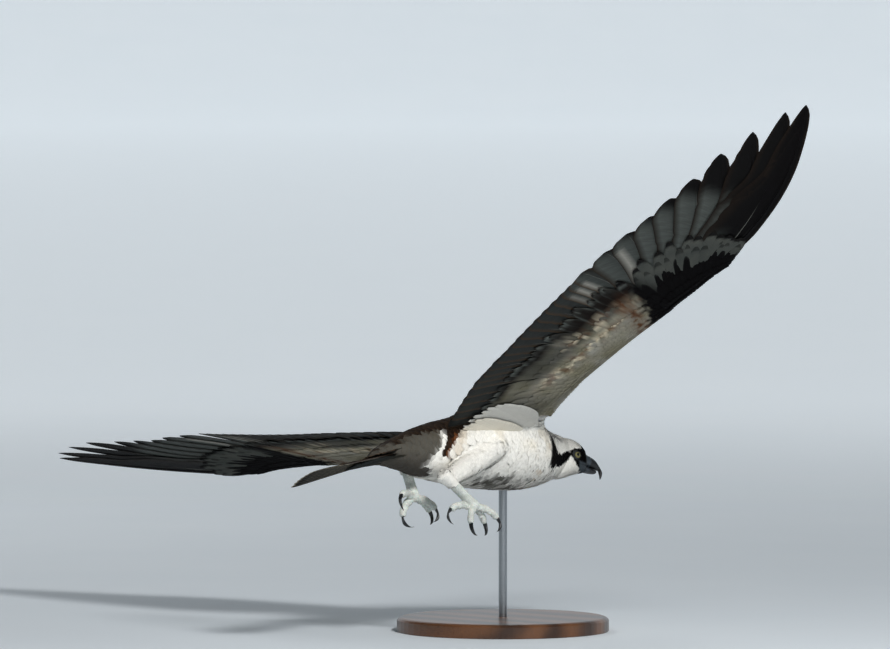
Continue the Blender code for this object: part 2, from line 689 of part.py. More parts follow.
def main() -> None:
    """Build every solid."""
    for obj in list(bpy.data.objects):
        bpy.data.objects.remove(obj, do_unlink=True)
    pose = attitude()
    body = trunk()
    parts = {}

    skull, throat = head(), neck()
    boolean(throat, swollen(skull))
    parts["neck"] = (keep_largest(throat, "neck"), "white")
    for tag, sign in (("left", 1), ("right", -1)):
        centre = head_matrix() @ Vector((sign * EYE_SIDE, EYE_BACK, -EYE_DROP))
        eye = ball("eye_" + tag, centre, EYE_RADIUS)
        boolean(skull, ball("socket", centre, EYE_RADIUS + GAP * 1.3))
        parts["eye_" + tag] = (eye, "eye")
    parts["head"] = (keep_largest(skull, "head"), "white")
    parts["bill_upper"] = (bill(True), "horn")
    parts["bill_lower"] = (bill(False), "horn")

    rear = tail()
    boolean(rear, swollen(body))
    parts["tail"] = (keep_largest(rear, "tail"), "feather")

    for i, tag in enumerate(("right", "left")):
        limb = foot(i, tag)
        leg = thigh(i, "thigh_" + tag)
        boolean(leg, swollen(body))
        leg = keep_largest(leg, "thigh_" + tag)
        boolean(limb[0], swollen(leg))
        boolean(limb[0], swollen(body))
        limb[0] = keep_largest(limb[0], "foot_" + tag)
        parts["thigh_" + tag] = (leg, "white")
        parts["foot_" + tag] = (limb[0], "scale")
        for claw in limb[1:]:
            parts[claw.name] = (claw, "horn")

    for wing, tag in ((RIGHT, "right"), (LEFT, "left")):
        sheet = wing.solid("wing")
        boolean(sheet, swollen(body))
        sheet = keep_largest(sheet, "wing")
        boolean(sheet, wing.cut_sheet())
        halves = islands(sheet)[:2]
        halves.sort(key=lambda o: max(abs(v.co.x) for v in o.data.vertices))
        for half, label in zip(halves, ("arm", "hand")):
            half.name = f"wing_{tag}_{label}"
            parts[half.name] = (half, "feather")

    for obj, _ in parts.values():
        obj.data.transform(pose)
    body.data.transform(pose)

    top = pose @ ROD_POINT
    hole_top = top.z + 0.004
    boolean(body, cylinder("hole", ROD_RADIUS + GAP, -0.05, hole_top))
    parts["trunk"] = (keep_largest(body, "trunk"), "white")
    base = loft("stand_base", [oval(Vector((0, 0, z)), Vector((1, 0, 0)), Vector((0, 1, 0)), r, r, 64)
                               for z, r in ((0.0, BASE_RADIUS - 0.001), (0.001, BASE_RADIUS),
                                            (BASE_THICK - BASE_EDGE, BASE_RADIUS),
                                            (BASE_THICK - 0.0012, BASE_RADIUS - 0.0028),
                                            (BASE_THICK, BASE_RADIUS - 0.006))])
    boolean(base, cylinder("hole", ROD_RADIUS + GAP, ROD_FOOT - GAP, 0.1))
    parts["stand_base"] = (base, "wood")
    parts["stand_rod"] = (cylinder("stand_rod", ROD_RADIUS, ROD_FOOT, hole_top - GAP), "steel")
    for name, (obj, kind) in parts.items():
        obj.name = name
        obj.data.name = name
        tidy(obj)
        paint(obj, kind)


main()
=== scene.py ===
"""Looks of a life-size osprey in banking flight on a museum stand.

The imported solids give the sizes. One skin stands for the flesh, lies inside it by
the coat's depth, and carries modelled feathers: contour feathers scattered over the
body, rows of coverts on the wings, and the long quills of wings and tail. The bird
is modelled level (heading -Y, left wing +X, up +Z, shoulders at the origin) and then
turned to its attitude on the stand.
"""
import logging
import math
from dataclasses import dataclass, field
from enum import Enum
from itertools import groupby

import bmesh
import bpy
import numpy as np
from mathutils import Matrix, Vector
from mathutils.bvhtree import BVHTree
from mathutils.kdtree import KDTree


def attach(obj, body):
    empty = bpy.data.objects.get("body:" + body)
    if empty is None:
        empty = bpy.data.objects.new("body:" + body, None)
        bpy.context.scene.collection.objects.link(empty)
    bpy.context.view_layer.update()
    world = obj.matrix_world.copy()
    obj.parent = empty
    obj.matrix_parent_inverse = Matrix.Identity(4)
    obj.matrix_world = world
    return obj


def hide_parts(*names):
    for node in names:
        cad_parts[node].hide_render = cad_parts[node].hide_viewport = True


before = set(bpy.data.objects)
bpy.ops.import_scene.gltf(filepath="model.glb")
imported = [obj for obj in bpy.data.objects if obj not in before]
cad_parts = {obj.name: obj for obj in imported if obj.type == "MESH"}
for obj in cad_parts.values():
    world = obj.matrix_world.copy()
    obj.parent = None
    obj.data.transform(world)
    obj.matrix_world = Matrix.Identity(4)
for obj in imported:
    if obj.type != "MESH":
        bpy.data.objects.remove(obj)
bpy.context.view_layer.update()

log = logging.getLogger("osprey")
Array = np.ndarray

# ---- attitude and stand, as in the solids -------------------------------------------
BANK = math.radians(19.2)                      # left wing down
PITCH = math.radians(8.9)                      # nose down
ROD_POINT = Vector((0.0, -0.030, -0.020))      # level bird: point on the rod's axis
SHOULDER_HEIGHT = 0.277
# ---- coat ------------------------------------------------------------------------------
BODY_DEPTH = 0.0045                            # coat between the skin and the outline
HEAD_DEPTH = 0.0014
WING_DEPTH = 0.0016
LEG_DEPTH = 0.0034
PATCH = 0.003                                  # size of one tuft on the bake's map
BODY_VANE, BODY_STEP = 0.31, 0.21              # half width and spacing, per length of feather
SEEDS = 120_000                                # roots that are tried
FREE_TIP = 0.0045                              # how far a tip may stand off the skin
THIN = 0.0014                                  # least height of a wing under its coverts
FOOT_TOP = (-0.090, -0.080)                    # right and left foot
MAX_TRIANGLES = 190_000                        # per piece
SHARP_EDGE = 70.0                              # degrees from which feathers and skin show edges
# ---- wings -----------------------------------------------------------------------------
SHOULDER_OUT = 0.055
HAND_LENGTH = 0.115
PRIMARY_ANGLES = (63.3, 55.4, 47.9, 41.8, 35.8, 29.7, 23.2, 16.9, 12.8, 12.4)
PRIMARY_LENGTHS = (0.206, 0.217, 0.226, 0.244, 0.269, 0.309, 0.340, 0.360, 0.365, 0.319)
PRIMARY_ROOTS = (0.002, 0.014, 0.026, 0.038, 0.050, 0.063, 0.077, 0.090, 0.101, 0.110)
PRIMARIES, SECONDARIES = 10, 20


# ---------------------------------------------------------------------- small sums
def ease(t: Array | float) -> Array:
    """Ease from 0 to 1 with level ends."""
    t = np.clip(t, 0.0, 1.0)
    return t * t * (3.0 - 2.0 * t)


def table(x: Array | float, *knots: tuple[float, float]) -> Array:
    """Straight-line table lookup, level past its ends."""
    return np.interp(x, [k[0] for k in knots], [k[1] for k in knots])


def unit(v: Array) -> Array:
    """Scale vectors to length 1."""
    return v / np.maximum(np.linalg.norm(v, axis=-1, keepdims=True), 1e-12)


def spline(knots: Array, values: Array, x: Array) -> Array:
    """Smooth curve through values at rising knots.

    Args:
        knots: Rising positions, one per row of values.
        values: Rows to pass through.
        x: Positions to read the curve at.

    Returns:
        One row per position.
    """
    slopes = np.gradient(values, knots, axis=0)
    i = np.clip(np.searchsorted(knots, x) - 1, 0, len(knots) - 2)
    h = (knots[i + 1] - knots[i])[:, None]
    t = ((x - knots[i])[:, None]) / h
    return ((2 * t**3 - 3 * t**2 + 1) * values[i] + (t**3 - 2 * t**2 + t) * h * slopes[i]
            + (3 * t**2 - 2 * t**3) * values[i + 1] + (t**3 - t**2) * h * slopes[i + 1])


def run_along(line: Array) -> Array:
    """Distances from the start of a line to its points."""
    return np.concatenate([[0], np.cumsum(np.linalg.norm(np.diff(line, axis=0), axis=1))])


def dapple(p: Array, size: float, seed: int = 0) -> Array:
    """Smooth value noise from 0 to 1 with blotches of about the given size.

    Args:
        p: Points, last axis x, y, z.
        size: Blotch size in metres.
        seed: Choice of pattern.

    Returns:
        One value per point.
    """
    q = p / size + seed * 17.37
    cell = np.floor(q).astype(np.int64)
    f = ease(q - cell)
    total = np.zeros(p.shape[:-1])
    for corner in range(8):
        step = np.array([corner & 1, corner >> 1 & 1, corner >> 2 & 1])
        c = cell + step
        mixed = ((c[..., 0] * 73856093) ^ (c[..., 1] * 19349663) ^ (c[..., 2] * 83492791)
                 ^ (seed * 7919))
        value = ((mixed * 2654435761) & 0xFFFFFF) / float(0xFFFFFF)
        weight = np.prod(np.where(step, f, 1.0 - f), axis=-1)
        total += value * weight
    return total


def linear(code: str) -> Array:
    """Turn an sRGB hex colour into linear red, green and blue."""
    s = np.array([int(code[i:i + 2], 16) for i in (0, 2, 4)]) / 255.0
    return np.where(s <= 0.04045, s / 12.92, ((s + 0.055) / 1.055) ** 2.4)


def mix(a: Array, b: Array, t: Array | float) -> Array:
    """Blend colours; the share may be one number or one per point."""
    t = np.asarray(t, float)[..., None]
    return a * (1.0 - t) + b * t


class Plumage(Enum):
    """The bird's feather colours, some of them darkened as painted shade."""

    WHITE = "F3F0E8"
    CREAM = "E2D4B8"
    BUFF = "B79A70"
    RUST = "74421F"
    BROWN = "33271E"
    DARK = "1F1814"
    BLACK = "0C0A0B"
    FRINGE = "65523F"
    # Painted shade: the lining colour and the olive stand for white lining, vent and belly lying in
    # shade; slate, ash, pale ash and band are the under sides' own greys, painted darker for the
    # shade they lie in.
    SLATE = "2D2F2E"
    ASH = "464946"
    PALE_ASH = "686C67"
    LINING = "89836E"
    BAND = "68675F"
    DOWN = "A9A59B"
    OLIVE = "35332A"

    @property
    def rgb(self) -> Array:
        """Linear colour."""
        return linear(self.value)


def from_limb(points: Array, first: tuple, last: tuple, high: float = 1.0) -> tuple[Array, Array]:
    """Where points lie along a limb and how they stand off it.

    Args:
        points: Points of the level bird.
        first: Start of the limb's axis.
        last: Its end.
        high: Share of the axis at which the limb ends.

    Returns:
        Shares along the axis and vectors from the limb to the points.
    """
    first, axis = np.array(first), np.array(last) - np.array(first)
    share = (points - first) @ axis / (axis @ axis)
    return share, points - first - axis * np.clip(share, 0, high)[:, None]


def on_foot(points: Array, leg: int, reach: float) -> Array:
    """Whether points belong to a foot, below its shank."""
    near = np.linalg.norm(points - np.array(BODY.foot[leg]), axis=1) < reach
    return near & (points[:, 2] < FOOT_TOP[leg])


def attitude() -> Matrix:
    """Level bird to its place on the stand."""
    turn = Matrix.Rotation(PITCH, 4, "X") @ Matrix.Rotation(BANK, 4, "Y")
    shoulders = turn @ -ROD_POINT
    return Matrix.Translation((shoulders.x, shoulders.y, SHOULDER_HEIGHT)) @ turn


def posed(points: Array) -> Array:
    """Turn level points to the bird's attitude on the stand."""
    m = np.array(attitude())
    return points @ m[:3, :3].T + m[:3, 3]


# ---------------------------------------------------------------------- mesh helpers
def new_object(name: str, verts: Array, faces: list | Array) -> bpy.types.Object:
    """Make a mesh object from points and faces."""
    mesh = bpy.data.meshes.new(name)
    mesh.from_pydata([tuple(v) for v in np.asarray(verts)], [], [tuple(f) for f in faces])
    obj = bpy.data.objects.new(name, mesh)
    bpy.context.collection.objects.link(obj)
    return obj


def select_only(*objs: bpy.types.Object) -> None:
    """Select these objects and make the first one active."""
    bpy.ops.object.select_all(action="DESELECT")
    for obj in objs:
        obj.select_set(True)
    bpy.context.view_layer.objects.active = objs[0]


def apply_modifier(obj: bpy.types.Object, kind: str, **settings: object) -> None:
    """Add a modifier with its settings and apply it."""
    mod = obj.modifiers.new(kind.lower(), kind)
    for key, value in settings.items():
        setattr(mod, key, value)
    select_only(obj)
    bpy.ops.object.modifier_apply(modifier=mod.name)


def mesh_arrays(obj: bpy.types.Object) -> tuple[Array, Array]:
    """Points and point normals of a mesh."""
    n = len(obj.data.vertices)
    co, no = np.empty(n * 3), np.empty(n * 3)
    obj.data.vertices.foreach_get("co", co)
    obj.data.vertex_normals.foreach_get("vector", no)
    return co.reshape(-1, 3), no.reshape(-1, 3)


def move_points(obj: bpy.types.Object, points: Array) -> None:
    """Put a mesh's points elsewhere."""
    obj.data.vertices.foreach_set("co", points.ravel())
    obj.data.update()


def set_value(mesh: bpy.types.Mesh, name: str, values: Array) -> None:
    """Store one number per point."""
    layer = mesh.attributes.new(name, "FLOAT", "POINT")
    layer.data.foreach_set("value", np.asarray(values, np.float32).ravel())


def set_tint(mesh: bpy.types.Mesh, colours: Array) -> None:
    """Store one linear colour per point."""
    rgba_rows = np.ones((len(mesh.vertices), 4), np.float32)
    rgba_rows[:, :3] = colours
    layer = mesh.color_attributes.new("tint", "FLOAT_COLOR", "POINT")
    layer.data.foreach_set("color", rgba_rows.ravel())


def put_in_order(obj: bpy.types.Object) -> None:
    """Number a mesh's points and faces by place; a remesh or union numbers them anew each run."""
    points, _ = mesh_arrays(obj)
    order = np.lexsort(points.T)
    rank = np.empty(len(order), int)
    rank[order] = np.arange(len(order))
    rank = rank.tolist()
    faces = []
    for face in obj.data.polygons:
        ring = [rank[i] for i in face.vertices]
        first = ring.index(min(ring))
        faces.append(ring[first:] + ring[:first])
    obj.data.clear_geometry()
    obj.data.from_pydata(points[order].tolist(), [], sorted(faces))
    obj.data.update()


def face_outwards(obj: bpy.types.Object) -> None:
    """Turn the faces of a closed mesh outwards."""
    bm = bmesh.new()
    bm.from_mesh(obj.data)
    bmesh.ops.recalc_face_normals(bm, faces=bm.faces)
    bm.to_mesh(obj.data)
    bm.free()


def loft_rings(rings: Array) -> tuple[Array, list]:
    """Close a stack of equal rings with fans at its ends.

    Args:
        rings: Points, shaped stations by ring points by 3.

    Returns:
        Points and faces, wound so that rings that run anticlockwise seen from the
        first station face outwards.
    """
    k, n, _ = rings.shape
    verts = rings.reshape(-1, 3)
    i, j = np.meshgrid(np.arange(k - 1), np.arange(n), indexing="ij")
    a, b = i * n + j, i * n + (j + 1) % n
    faces = np.stack([a, b, b + n, a + n], -1).reshape(-1, 4).tolist()
    ends = np.array([rings[0].mean(0), rings[-1].mean(0)])
    c0, c1, last = k * n, k * n + 1, (k - 1) * n
    for j in range(n):
        faces.append((j, c0, (j + 1) % n))
        faces.append((last + j, last + (j + 1) % n, c1))
    return np.vstack([verts, ends]), faces


def ovals(centres: Array, side: Array, up: Array, half_w: Array, half_h: Array, count: int,
          power: float = 2.0) -> Array:
    """Superellipse rings round a row of centres.

    Args:
        centres: One centre per ring.
        side: Unit vector to the side, one or one per ring.
        up: Unit vector up, one or one per ring.
        half_w: Half widths.
        half_h: Half heights.
        count: Points per ring.
        power: 2 for an ellipse, more for squarer rings.

    Returns:
        Points, shaped rings by count by 3.
    """
    a = math.tau * (np.arange(count) + 0.5) / count
    x = np.sign(np.cos(a)) * np.abs(np.cos(a)) ** (2.0 / power)
    y = np.sign(np.sin(a)) * np.abs(np.sin(a)) ** (2.0 / power)
    side, up = np.broadcast_to(side, centres.shape), np.broadcast_to(up, centres.shape)
    return (centres[:, None] + side[:, None] * (x[None, :, None] * half_w[:, None, None])
            + up[:, None] * (y[None, :, None] * half_h[:, None, None]))


def solid(name: str, rings: Array) -> bpy.types.Object:
    """Closed loft with outward normals."""
    obj = new_object(name, *loft_rings(rings))
    face_outwards(obj)
    return obj


def along(points: Array, widths: Array, heights: Array, up: Array, count: int = 24,
          power: float = 2.0) -> Array:
    """Rings square to a path."""
    ahead = unit(np.gradient(points, axis=0))
    side = unit(np.cross(ahead, np.broadcast_to(up, ahead.shape)))
    return ovals(points, side, np.cross(side, ahead), widths, heights, count, power)


# ---------------------------------------------------------------------- wings
@dataclass(frozen=True)
class WingForm:
    """Shape of a spread wing; plan points are (out from the shoulder, back), angles in degrees."""

    side: int                    # 1 for the left wing, -1 for the right
    arm_length: float
    arm_sweep: float
    hand_sweep: float
    arm_rise: float
    hand_rise: float
    tip_rise: float
    arm_twist: float
    hand_twist: float
    spread: float                # share of the quills' full fan
    reach: float                 # share of their full length
    bends: tuple = (0.20, 0.20, 0.45, 0.40)      # where wrist and tip turn up, and over what run

    @property
    def tag(self) -> str:
        """Name of the side."""
        return "left" if self.side > 0 else "right"

    @property
    def hand_axis(self) -> Array:
        """Plan direction of the hand bones."""
        a = math.radians(self.hand_sweep)
        return np.array([math.cos(a), math.sin(a)])

    @property
    def hand_back(self) -> Array:
        """Plan direction square to the hand, towards the trailing edge."""
        h = self.hand_axis
        return np.array([-h[1], h[0]])

    @property
    def wrist(self) -> Array:
        """Plan position of the wrist."""
        a = math.radians(self.arm_sweep)
        return np.array([math.cos(a), math.sin(a)]) * self.arm_length

    @property
    def elbow(self) -> Array:
        """Plan position of the elbow."""
        w = self.wrist
        return w * 0.44 + unit(np.array([-w[1], w[0]])) * 0.048

    def rise(self, u: Array) -> Array:
        """Upward slope of the wing at a distance out, in degrees."""
        wrist, run, tip, tip_run = self.bends
        return (self.arm_rise + (self.hand_rise - self.arm_rise) * ease((u - wrist) / run)
                + (self.tip_rise - self.hand_rise) * ease((u - tip) / tip_run))

    def place(self, plan: Array, lift: Array) -> Array:
        """Bring plan points and heights off the wing's mid sheet to the level bird.

        Args:
            plan: Plan points, last axis out and back.
            lift: Height of each point above the mid sheet.

        Returns:
            Points of the level bird.
        """
        grid = np.linspace(-0.08, 0.92, 801)
        slope = np.radians(self.rise(grid))
        step = grid[1] - grid[0]
        sums = []
        for part in (np.cos(slope), np.sin(slope)):
            total = np.concatenate([[0], np.cumsum((part[1:] + part[:-1]) * step / 2)])
            sums.append(total - np.interp(0.0, grid, total))
        run, high = sums
        u, v = plan[..., 0], plan[..., 1]
        x, z, r = np.interp(u, grid, run), np.interp(u, grid, high), np.radians(self.rise(u))
        twist = np.radians(self.arm_twist
                           + (self.hand_twist - self.arm_twist) * ease((u - 0.1) / 0.5))
        droop = 0.75 * np.maximum(0.0, v - 0.08) ** 2 * (1.0 - ease((u - 0.38) / 0.15))
        up = np.sin(twist) * v + lift - droop
        return np.stack([self.side * (SHOULDER_OUT + x - np.sin(r) * up), np.cos(twist) * v,
                         z + np.cos(r) * up], -1)

    def upper(self, plan: Array) -> Array:
        """Height of the solid's upper side above its mid sheet."""
        w = self.wrist
        t = np.maximum(0.0, plan[..., 0]) / w[0]
        depth = plan[..., 1] - (w[1] * t - 0.026)
        thin = 0.003 * np.minimum(t, 1.0)
        arm = np.where(
            depth < 0.025, 0.0030 + (0.0085 - thin) * np.clip(depth / 0.025, 0, 1),
            np.where(depth < 0.06, 0.0115 - thin - 0.003 * (depth - 0.025) / 0.035,
                     np.interp(depth, (0.06, 0.12, 0.2), (0.0, 1.0, 1.22)) * -(0.0063 - thin)
                     + 0.0085 - thin))
        out = plan - w
        reach = out @ self.hand_axis
        depth = out @ self.hand_back + 0.012
        fade = table(reach, (0, 1.0), (0.12, 0.55), (0.22, 0.12), (0.3, 0.0))
        hand = 0.0007 + fade * table(depth, (0, 0.002), (0.02, 0.0075), (0.05, 0.0035), (0.1, 0.0))
        share = ease((plan[..., 0] - w[0] + 0.02) / 0.04)
        return np.maximum(0.0007, arm * (1.0 - share) + hand * share)

    def lower(self, plan: Array) -> Array:
        """Depth of the solid's under side below its mid sheet."""
        half = self.upper(plan)
        return np.where(half < 0.0012, half, 0.0012 + 0.45 * (half - 0.0012))

    def front(self, u: Array) -> Array:
        """Leading edge: how far back it is at a distance out."""
        w, h, hn = self.wrist, self.hand_axis, self.hand_back
        n = unit(np.array([-w[1], w[0]]))
        line = np.array([(-0.030, -0.068), (0.004, -0.068), (0.020, -0.053), w * 0.18 - n * 0.040,
                         w * 0.40 - n * 0.025, w * 0.7 - n * 0.0215, w * 0.86 - n * 0.0215,
                         w - n * 0.019, w + h * 0.05 - hn * 0.0145,
                         w + h * HAND_LENGTH - hn * 0.004])
        return np.interp(u, line[:, 0], line[:, 1])

    def quills(self) -> tuple[Array, Array, Array]:
        """Roots, directions and lengths of the quills, outermost primary first."""
        h, hn, w = self.hand_axis, self.hand_back, self.wrist
        roots, angles, lengths = [], [], []
        for k in range(PRIMARIES - 1, -1, -1):
            roots.append(w + h * PRIMARY_ROOTS[k] + hn * 0.012)
            angles.append(math.radians(self.hand_sweep + PRIMARY_ANGLES[k] * self.spread))
            lengths.append(PRIMARY_LENGTHS[k] * self.reach)
        start = w + np.array([0.0, 0.012])
        for k in range(SECONDARIES):
            t = (k + 0.6) / SECONDARIES
            if t < 0.72:
                roots.append(start + (self.elbow - start) * (t / 0.72))
            else:
                inner = np.array([0.02, 0.03]) - self.elbow
                roots.append(self.elbow + inner * ((t - 0.72) / 0.28))
            first, last = self.hand_sweep + 73.0, 106.0
            angles.append(math.radians(first + (last - first) * float(ease(t * 1.15))))
            lengths.append(float(table(t, (0, 0.196), (0.12, 0.184), (0.35, 0.171), (0.5, 0.164),
                                       (0.6, 0.157), (0.7, 0.148), (0.9, 0.121), (1, 0.1065))))
        return np.array(roots), np.array(angles), np.array(lengths)

    def station(self, q: Array) -> tuple[Array, Array, Array]:
        """Root line, quill direction and leading edge at fractional quill numbers.

        Args:
            q: Quill numbers from the outermost primary, 0, to the innermost
                secondary, 29; values between and a little past the ends are allowed.

        Returns:
            Plan points of the quills' root line, angles, and plan points straight
            ahead on the leading edge.
        """
        roots, angles, _ = self.quills()
        n = np.arange(len(roots))
        extra = np.maximum(0.0, -q)[:, None] * self.hand_axis * 0.010
        root = np.stack([np.interp(q, n, roots[:, i]) for i in (0, 1)], -1) + extra
        angle = np.interp(q, n, angles)
        reach = (root - self.wrist) @ self.hand_axis
        before = table(reach, (0, 0.0285), (0.05, 0.0255), (HAND_LENGTH, 0.0155))
        hand = root - self.hand_back * before[:, None]
        arm = np.stack([root[:, 0], self.front(root[:, 0])], -1)
        share = ease((q - (PRIMARIES - 2.0)) / 2.0)[:, None]
        return root, angle, hand * (1.0 - share) + arm * share

    def flesh(self) -> bpy.types.Object:
        """Arm, hand and the web of skin in front of them, inside the coat."""
        us = np.linspace(-0.030, self.wrist[0] + self.hand_axis[0] * (HAND_LENGTH + 0.004), 90)
        roots, _, _ = self.quills()
        order = np.argsort(roots[:, 0])
        back = np.interp(us, roots[order, 0], roots[order, 1]) + 0.016
        front = self.front(us) + WING_DEPTH * 1.5
        back = np.maximum(back, front + 0.012)
        end = np.sqrt(np.clip((us[-1] - us) / 0.014, 0.05, 1.0))
        middle = (front + back) / 2
        rings = []
        share = (1.0 - np.cos(np.linspace(0, math.pi, 18))) / 2
        for sign in (1, -1):
            for s in (share if sign > 0 else share[::-1][1:-1]):
                v = middle + (back - front) * (s - 0.5) * end
                p = np.stack([us, v], -1)
                high = self.upper(p) if sign > 0 else self.lower(p)
                round_off = math.sqrt(max(0.0, 1.0 - (2 * s - 1) ** 8))
                rings.append(self.place(p, sign * np.maximum(0.0009, high - WING_DEPTH)
                                        * round_off * end))
        return solid(f"flesh_{self.tag}", np.stack(rings, 1))


RIGHT_WING = WingForm(side=-1, arm_length=0.300, arm_sweep=-2.2, hand_sweep=3.4, arm_rise=17.1,
                      hand_rise=8.7, tip_rise=37.5, arm_twist=-2.6, hand_twist=13.9,
                      spread=0.963, reach=1.0)
LEFT_WING = WingForm(side=1, arm_length=0.298, arm_sweep=-6.1, hand_sweep=-3.3, arm_rise=14.3,
                     hand_rise=4.0, tip_rise=16.6, arm_twist=3.7, hand_twist=11.9,
                     spread=0.954, reach=0.985, bends=(0.32, 0.15, 0.38, 0.15))


# ---------------------------------------------------------------------- body
@dataclass(frozen=True)
class BodyForm:
    """Stations of trunk, neck and head, and the points of the legs."""

    trunk: tuple = ((0.088, 0.0250, -0.0645, 0.0470), (0.070, 0.0335, -0.0690, 0.0535),
                    (0.045, 0.0395, -0.0725, 0.0585), (0.000, 0.0410, -0.0762, 0.0600),
                    (-0.045, 0.0300, -0.0785, 0.0565), (-0.085, 0.0150, -0.0780, 0.0500),
                    (-0.120, 0.0050, -0.0775, 0.0430), (-0.150, -0.0050, -0.0765, 0.0370),
                    (-0.180, -0.0170, -0.0715, 0.0310), (-0.210, -0.0310, -0.0690, 0.0250),
                    (-0.235, -0.0440, -0.0680, 0.0180), (-0.252, -0.0540, -0.0695, 0.0090))
    neck: tuple = ((0.0000, 0.088, -0.0197, 0.0470, 0.0447),
                   (-0.0015, 0.104, -0.0192, 0.0410, 0.0400),
                   (-0.0045, 0.120, -0.0180, 0.0355, 0.0357),
                   (-0.0085, 0.134, -0.0173, 0.0305, 0.0312),
                   (-0.0130, 0.147, -0.0185, 0.0240, 0.0255))
    head: tuple = ((-0.0400, 0.0060, -0.0230, 0.0120), (-0.0345, 0.0165, -0.0310, 0.0205),
                   (-0.0240, 0.0245, -0.0338, 0.0250), (-0.0110, 0.0275, -0.0302, 0.0250),
                   (0.0000, 0.0258, -0.0252, 0.0222), (0.0080, 0.0227, -0.0220, 0.0182),
                   (0.0145, 0.0178, -0.0202, 0.0144), (0.0200, 0.0112, -0.0186, 0.0110))
    eyes_middle: tuple = (-0.0180, -0.156, -0.0206)
    head_turn: float = math.radians(22.0)
    head_dip: float = math.radians(8.0)
    eye_side: float = 0.0150
    eye_back: float = 0.0012
    eye_drop: float = 0.0016
    eye_radius: float = 0.0080
    knee: tuple = ((-0.043, 0.033, -0.033), (0.043, 0.044, -0.030))
    heel: tuple = ((-0.035, 0.138, -0.090), (0.036, 0.143, -0.047))
    foot: tuple = ((-0.035, 0.089, -0.1255), (0.035, 0.134, -0.096))
    toe_lengths: tuple = (0.035, 0.039, 0.037, 0.041)
    toe_turns: tuple = ((-22, 12), (10, 4), (163, 34), (-164, -12))
    claw_length: float = 0.027

    def head_matrix(self) -> Matrix:
        """Head frame: x to its left, y back, z up, origin between the eyes."""
        turn = Matrix.Rotation(-self.head_turn, 4, "Z") @ Matrix.Rotation(self.head_dip, 4, "X")
        return Matrix.Translation(Vector(self.eyes_middle)) @ turn

    def from_head(self, points: Array) -> Array:
        """Head frame to level bird."""
        m = np.array(self.head_matrix())
        return points @ m[:3, :3].T + m[:3, 3]

    def to_head(self, points: Array) -> Array:
        """Level bird to head frame."""
        m = np.array(self.head_matrix())
        return (points - m[:3, 3]) @ m[:3, :3]

    def toe(self, leg: int, k: int) -> tuple[Array, Array]:
        """Centre lines of a toe and of its claw.

        Args:
            leg: 0 for the right leg, 1 for the left.
            k: Toe: inner, middle, outer or hind.

        Returns:
            Points of the toe and points of the claw.
        """
        heading, start = self.toe_turns[k]
        a = math.radians(heading)
        flat = np.array([(-1, 1)[leg] * math.sin(a), -math.cos(a), 0.0])
        down = np.array([0.0, 0.0, -1.0])
        p = np.array(self.foot[leg]) + flat * 0.002
        toe, steps = [p], 5
        for s in range(steps):
            bend = math.radians(start + 42.0 * (s / (steps - 1)) ** 1.3)
            p = p + (flat * math.cos(bend) + down * math.sin(bend)) * (self.toe_lengths[k] / steps)
            toe.append(p)
        pitch = math.radians(start + 46.0)
        q = toe[-1] + (flat * math.cos(pitch) + down * math.sin(pitch)) * 0.0004
        claw = [q]
        for s in range(6):
            bend = pitch + math.radians(8 + 21.0 * s)
            q = q + (flat * math.cos(bend) + down * math.sin(bend)) * (self.claw_length / 6)
            claw.append(q)
        return np.array(toe), np.array(claw)


BODY = BodyForm()


